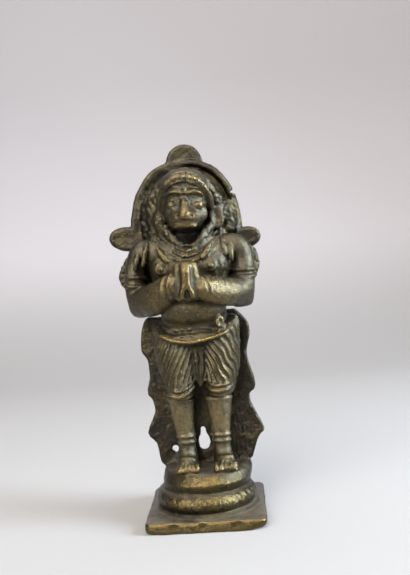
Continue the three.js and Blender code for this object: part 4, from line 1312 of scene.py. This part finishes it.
# The paper's colours on the floor and at the height, in metres, where it is palest; the paler colour up the
# sweep is a painted brightening, painted light
PAPER_LOW, PAPER_HIGH_PAINTED_PALER, PALEST_AT = (0.27, 0.263, 0.258, 1), (0.42, 0.405, 0.418, 1), 0.12
# The floor in metres: its ends, its height at the back, half its width, and the radius of its bend
FLOOR_FRONT, FLOOR_BACK, FLOOR_TOP, FLOOR_HALF, FLOOR_BEND = -1.6, 0.55, 1.4, 2.2, 0.3
MIDDLE = (0, 0, 0.045)
# Each light as (name, place, target, size, watts, colour, spread in degrees)
LIGHTS = [
    ("window", (0.45, -0.1, 0.22), MIDDLE, (0.2, 0.3), 2.6, (0.74, 0.87, 1.0), 100),
    ("lamp", (-0.02, -0.3, 0.5), MIDDLE, (0.16, 0.16), 1.8, (1.0, 0.9, 0.77), 180),
    ("soft_box", (-0.35, -0.6, 0.4), MIDDLE, (0.6, 0.6), 4.5, (1.0, 0.96, 0.9), 120),
    ("backdrop_light", (0.0, 0.1, 1.2), (0, 0.5, 0.3), (1.6, 1.0), 14.0, (0.98, 0.955, 0.985), 180),
]
AMBIENT, AMBIENT_STRENGTH = (0.82, 0.84, 0.9, 1), 0.2


def pale_paper():
    """Pale paper, painted paler where it rises behind the casting, a painted light on the sweep."""
    n = Nodes("pale_paper")
    n.put(n.shader.inputs["Base Color"], n.mix(n.span(n.z, 0.0, PALEST_AT), PAPER_LOW, PAPER_HIGH_PAINTED_PALER))
    n.shader.inputs["Roughness"].default_value = 0.9
    return n.material


def stage():
    """A pale floor that sweeps up far behind the casting."""
    bend = FLOOR_BEND
    profile = [(FLOOR_FRONT, 0.0), (FLOOR_BACK - bend, 0.0)]
    for angle in np.radians(np.arange(10, 91, 10)):
        profile.append((FLOOR_BACK - bend + bend * math.sin(angle), bend - bend * math.cos(angle)))
    profile.append((FLOOR_BACK, FLOOR_TOP))
    vertices = [(x, y, z) for x in (-FLOOR_HALF, FLOOR_HALF) for y, z in profile]
    count = len(profile)
    faces = [(k, count + k, count + k + 1, k + 1) for k in range(count - 1)]
    mesh = bpy.data.meshes.new("floor")
    mesh.from_pydata(vertices, [], faces)
    mesh.polygons.foreach_set("use_smooth", [True] * len(faces))
    mesh.materials.append(pale_paper())
    floor = placed("floor", mesh)


def area_light(name, place, target, size, watts, colour, spread):
    light = bpy.data.lights.new(name, "AREA")
    light.shape = "RECTANGLE"
    light.size, light.size_y = size
    light.energy = watts
    light.color = colour
    light.spread = math.radians(spread)
    lamp = placed(name, light)
    lamp.location = place
    lamp.rotation_euler = (Vector(target) - Vector(place)).to_track_quat("-Z", "Y").to_euler()


def lights():
    for light in LIGHTS:
        area_light(*light)
    world = bpy.data.worlds.new("room")
    world.use_nodes = True
    background = world.node_tree.nodes["Background"]
    background.inputs[0].default_value = AMBIENT
    background.inputs[1].default_value = AMBIENT_STRENGTH
    bpy.context.scene.world = world
    bpy.context.scene.view_settings.view_transform = "Standard"


# Camera, in the photograph's view of the plinth and the figure's axis

CAMERA_AT = (11.995, -155.201, 53.825)
# Yaw, pitch and roll in degrees
CAMERA_TURN = (-3.281, 0.687, -4.279)
FOCAL_PIXELS = 622.53
IMAGE_HEIGHT = 575


def camera():
    yaw, pitch, roll = (math.radians(a) for a in CAMERA_TURN)
    look = Vector((math.sin(yaw) * math.cos(pitch), math.cos(yaw) * math.cos(pitch), math.sin(pitch)))
    right = Vector((math.cos(yaw), -math.sin(yaw), 0))
    up = right.cross(look)
    side = math.cos(roll) * right + math.sin(roll) * up
    top = math.cos(roll) * up - math.sin(roll) * right
    data = bpy.data.cameras.new("camera")
    data.sensor_width = 36
    data.lens = data.sensor_width * FOCAL_PIXELS / IMAGE_HEIGHT
    data.clip_start, data.clip_end = 0.005, 20
    turned = Matrix((side, top, -look)).transposed().to_4x4()
    turned.translation = Vector(CAMERA_AT) * METRES
    bpy.context.scene.camera = placed("camera", data)
    bpy.context.scene.camera.matrix_world = turned


def casting():
    clay = sculpt()
    piece = mesh_of(clay, "casting")
    mark_wear_and_shade(clay, piece)
    piece.data.materials.append(aged_brass())
    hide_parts("hanuman_figure")
    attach(piece, "root")


camera()
stage()
lights()
casting()
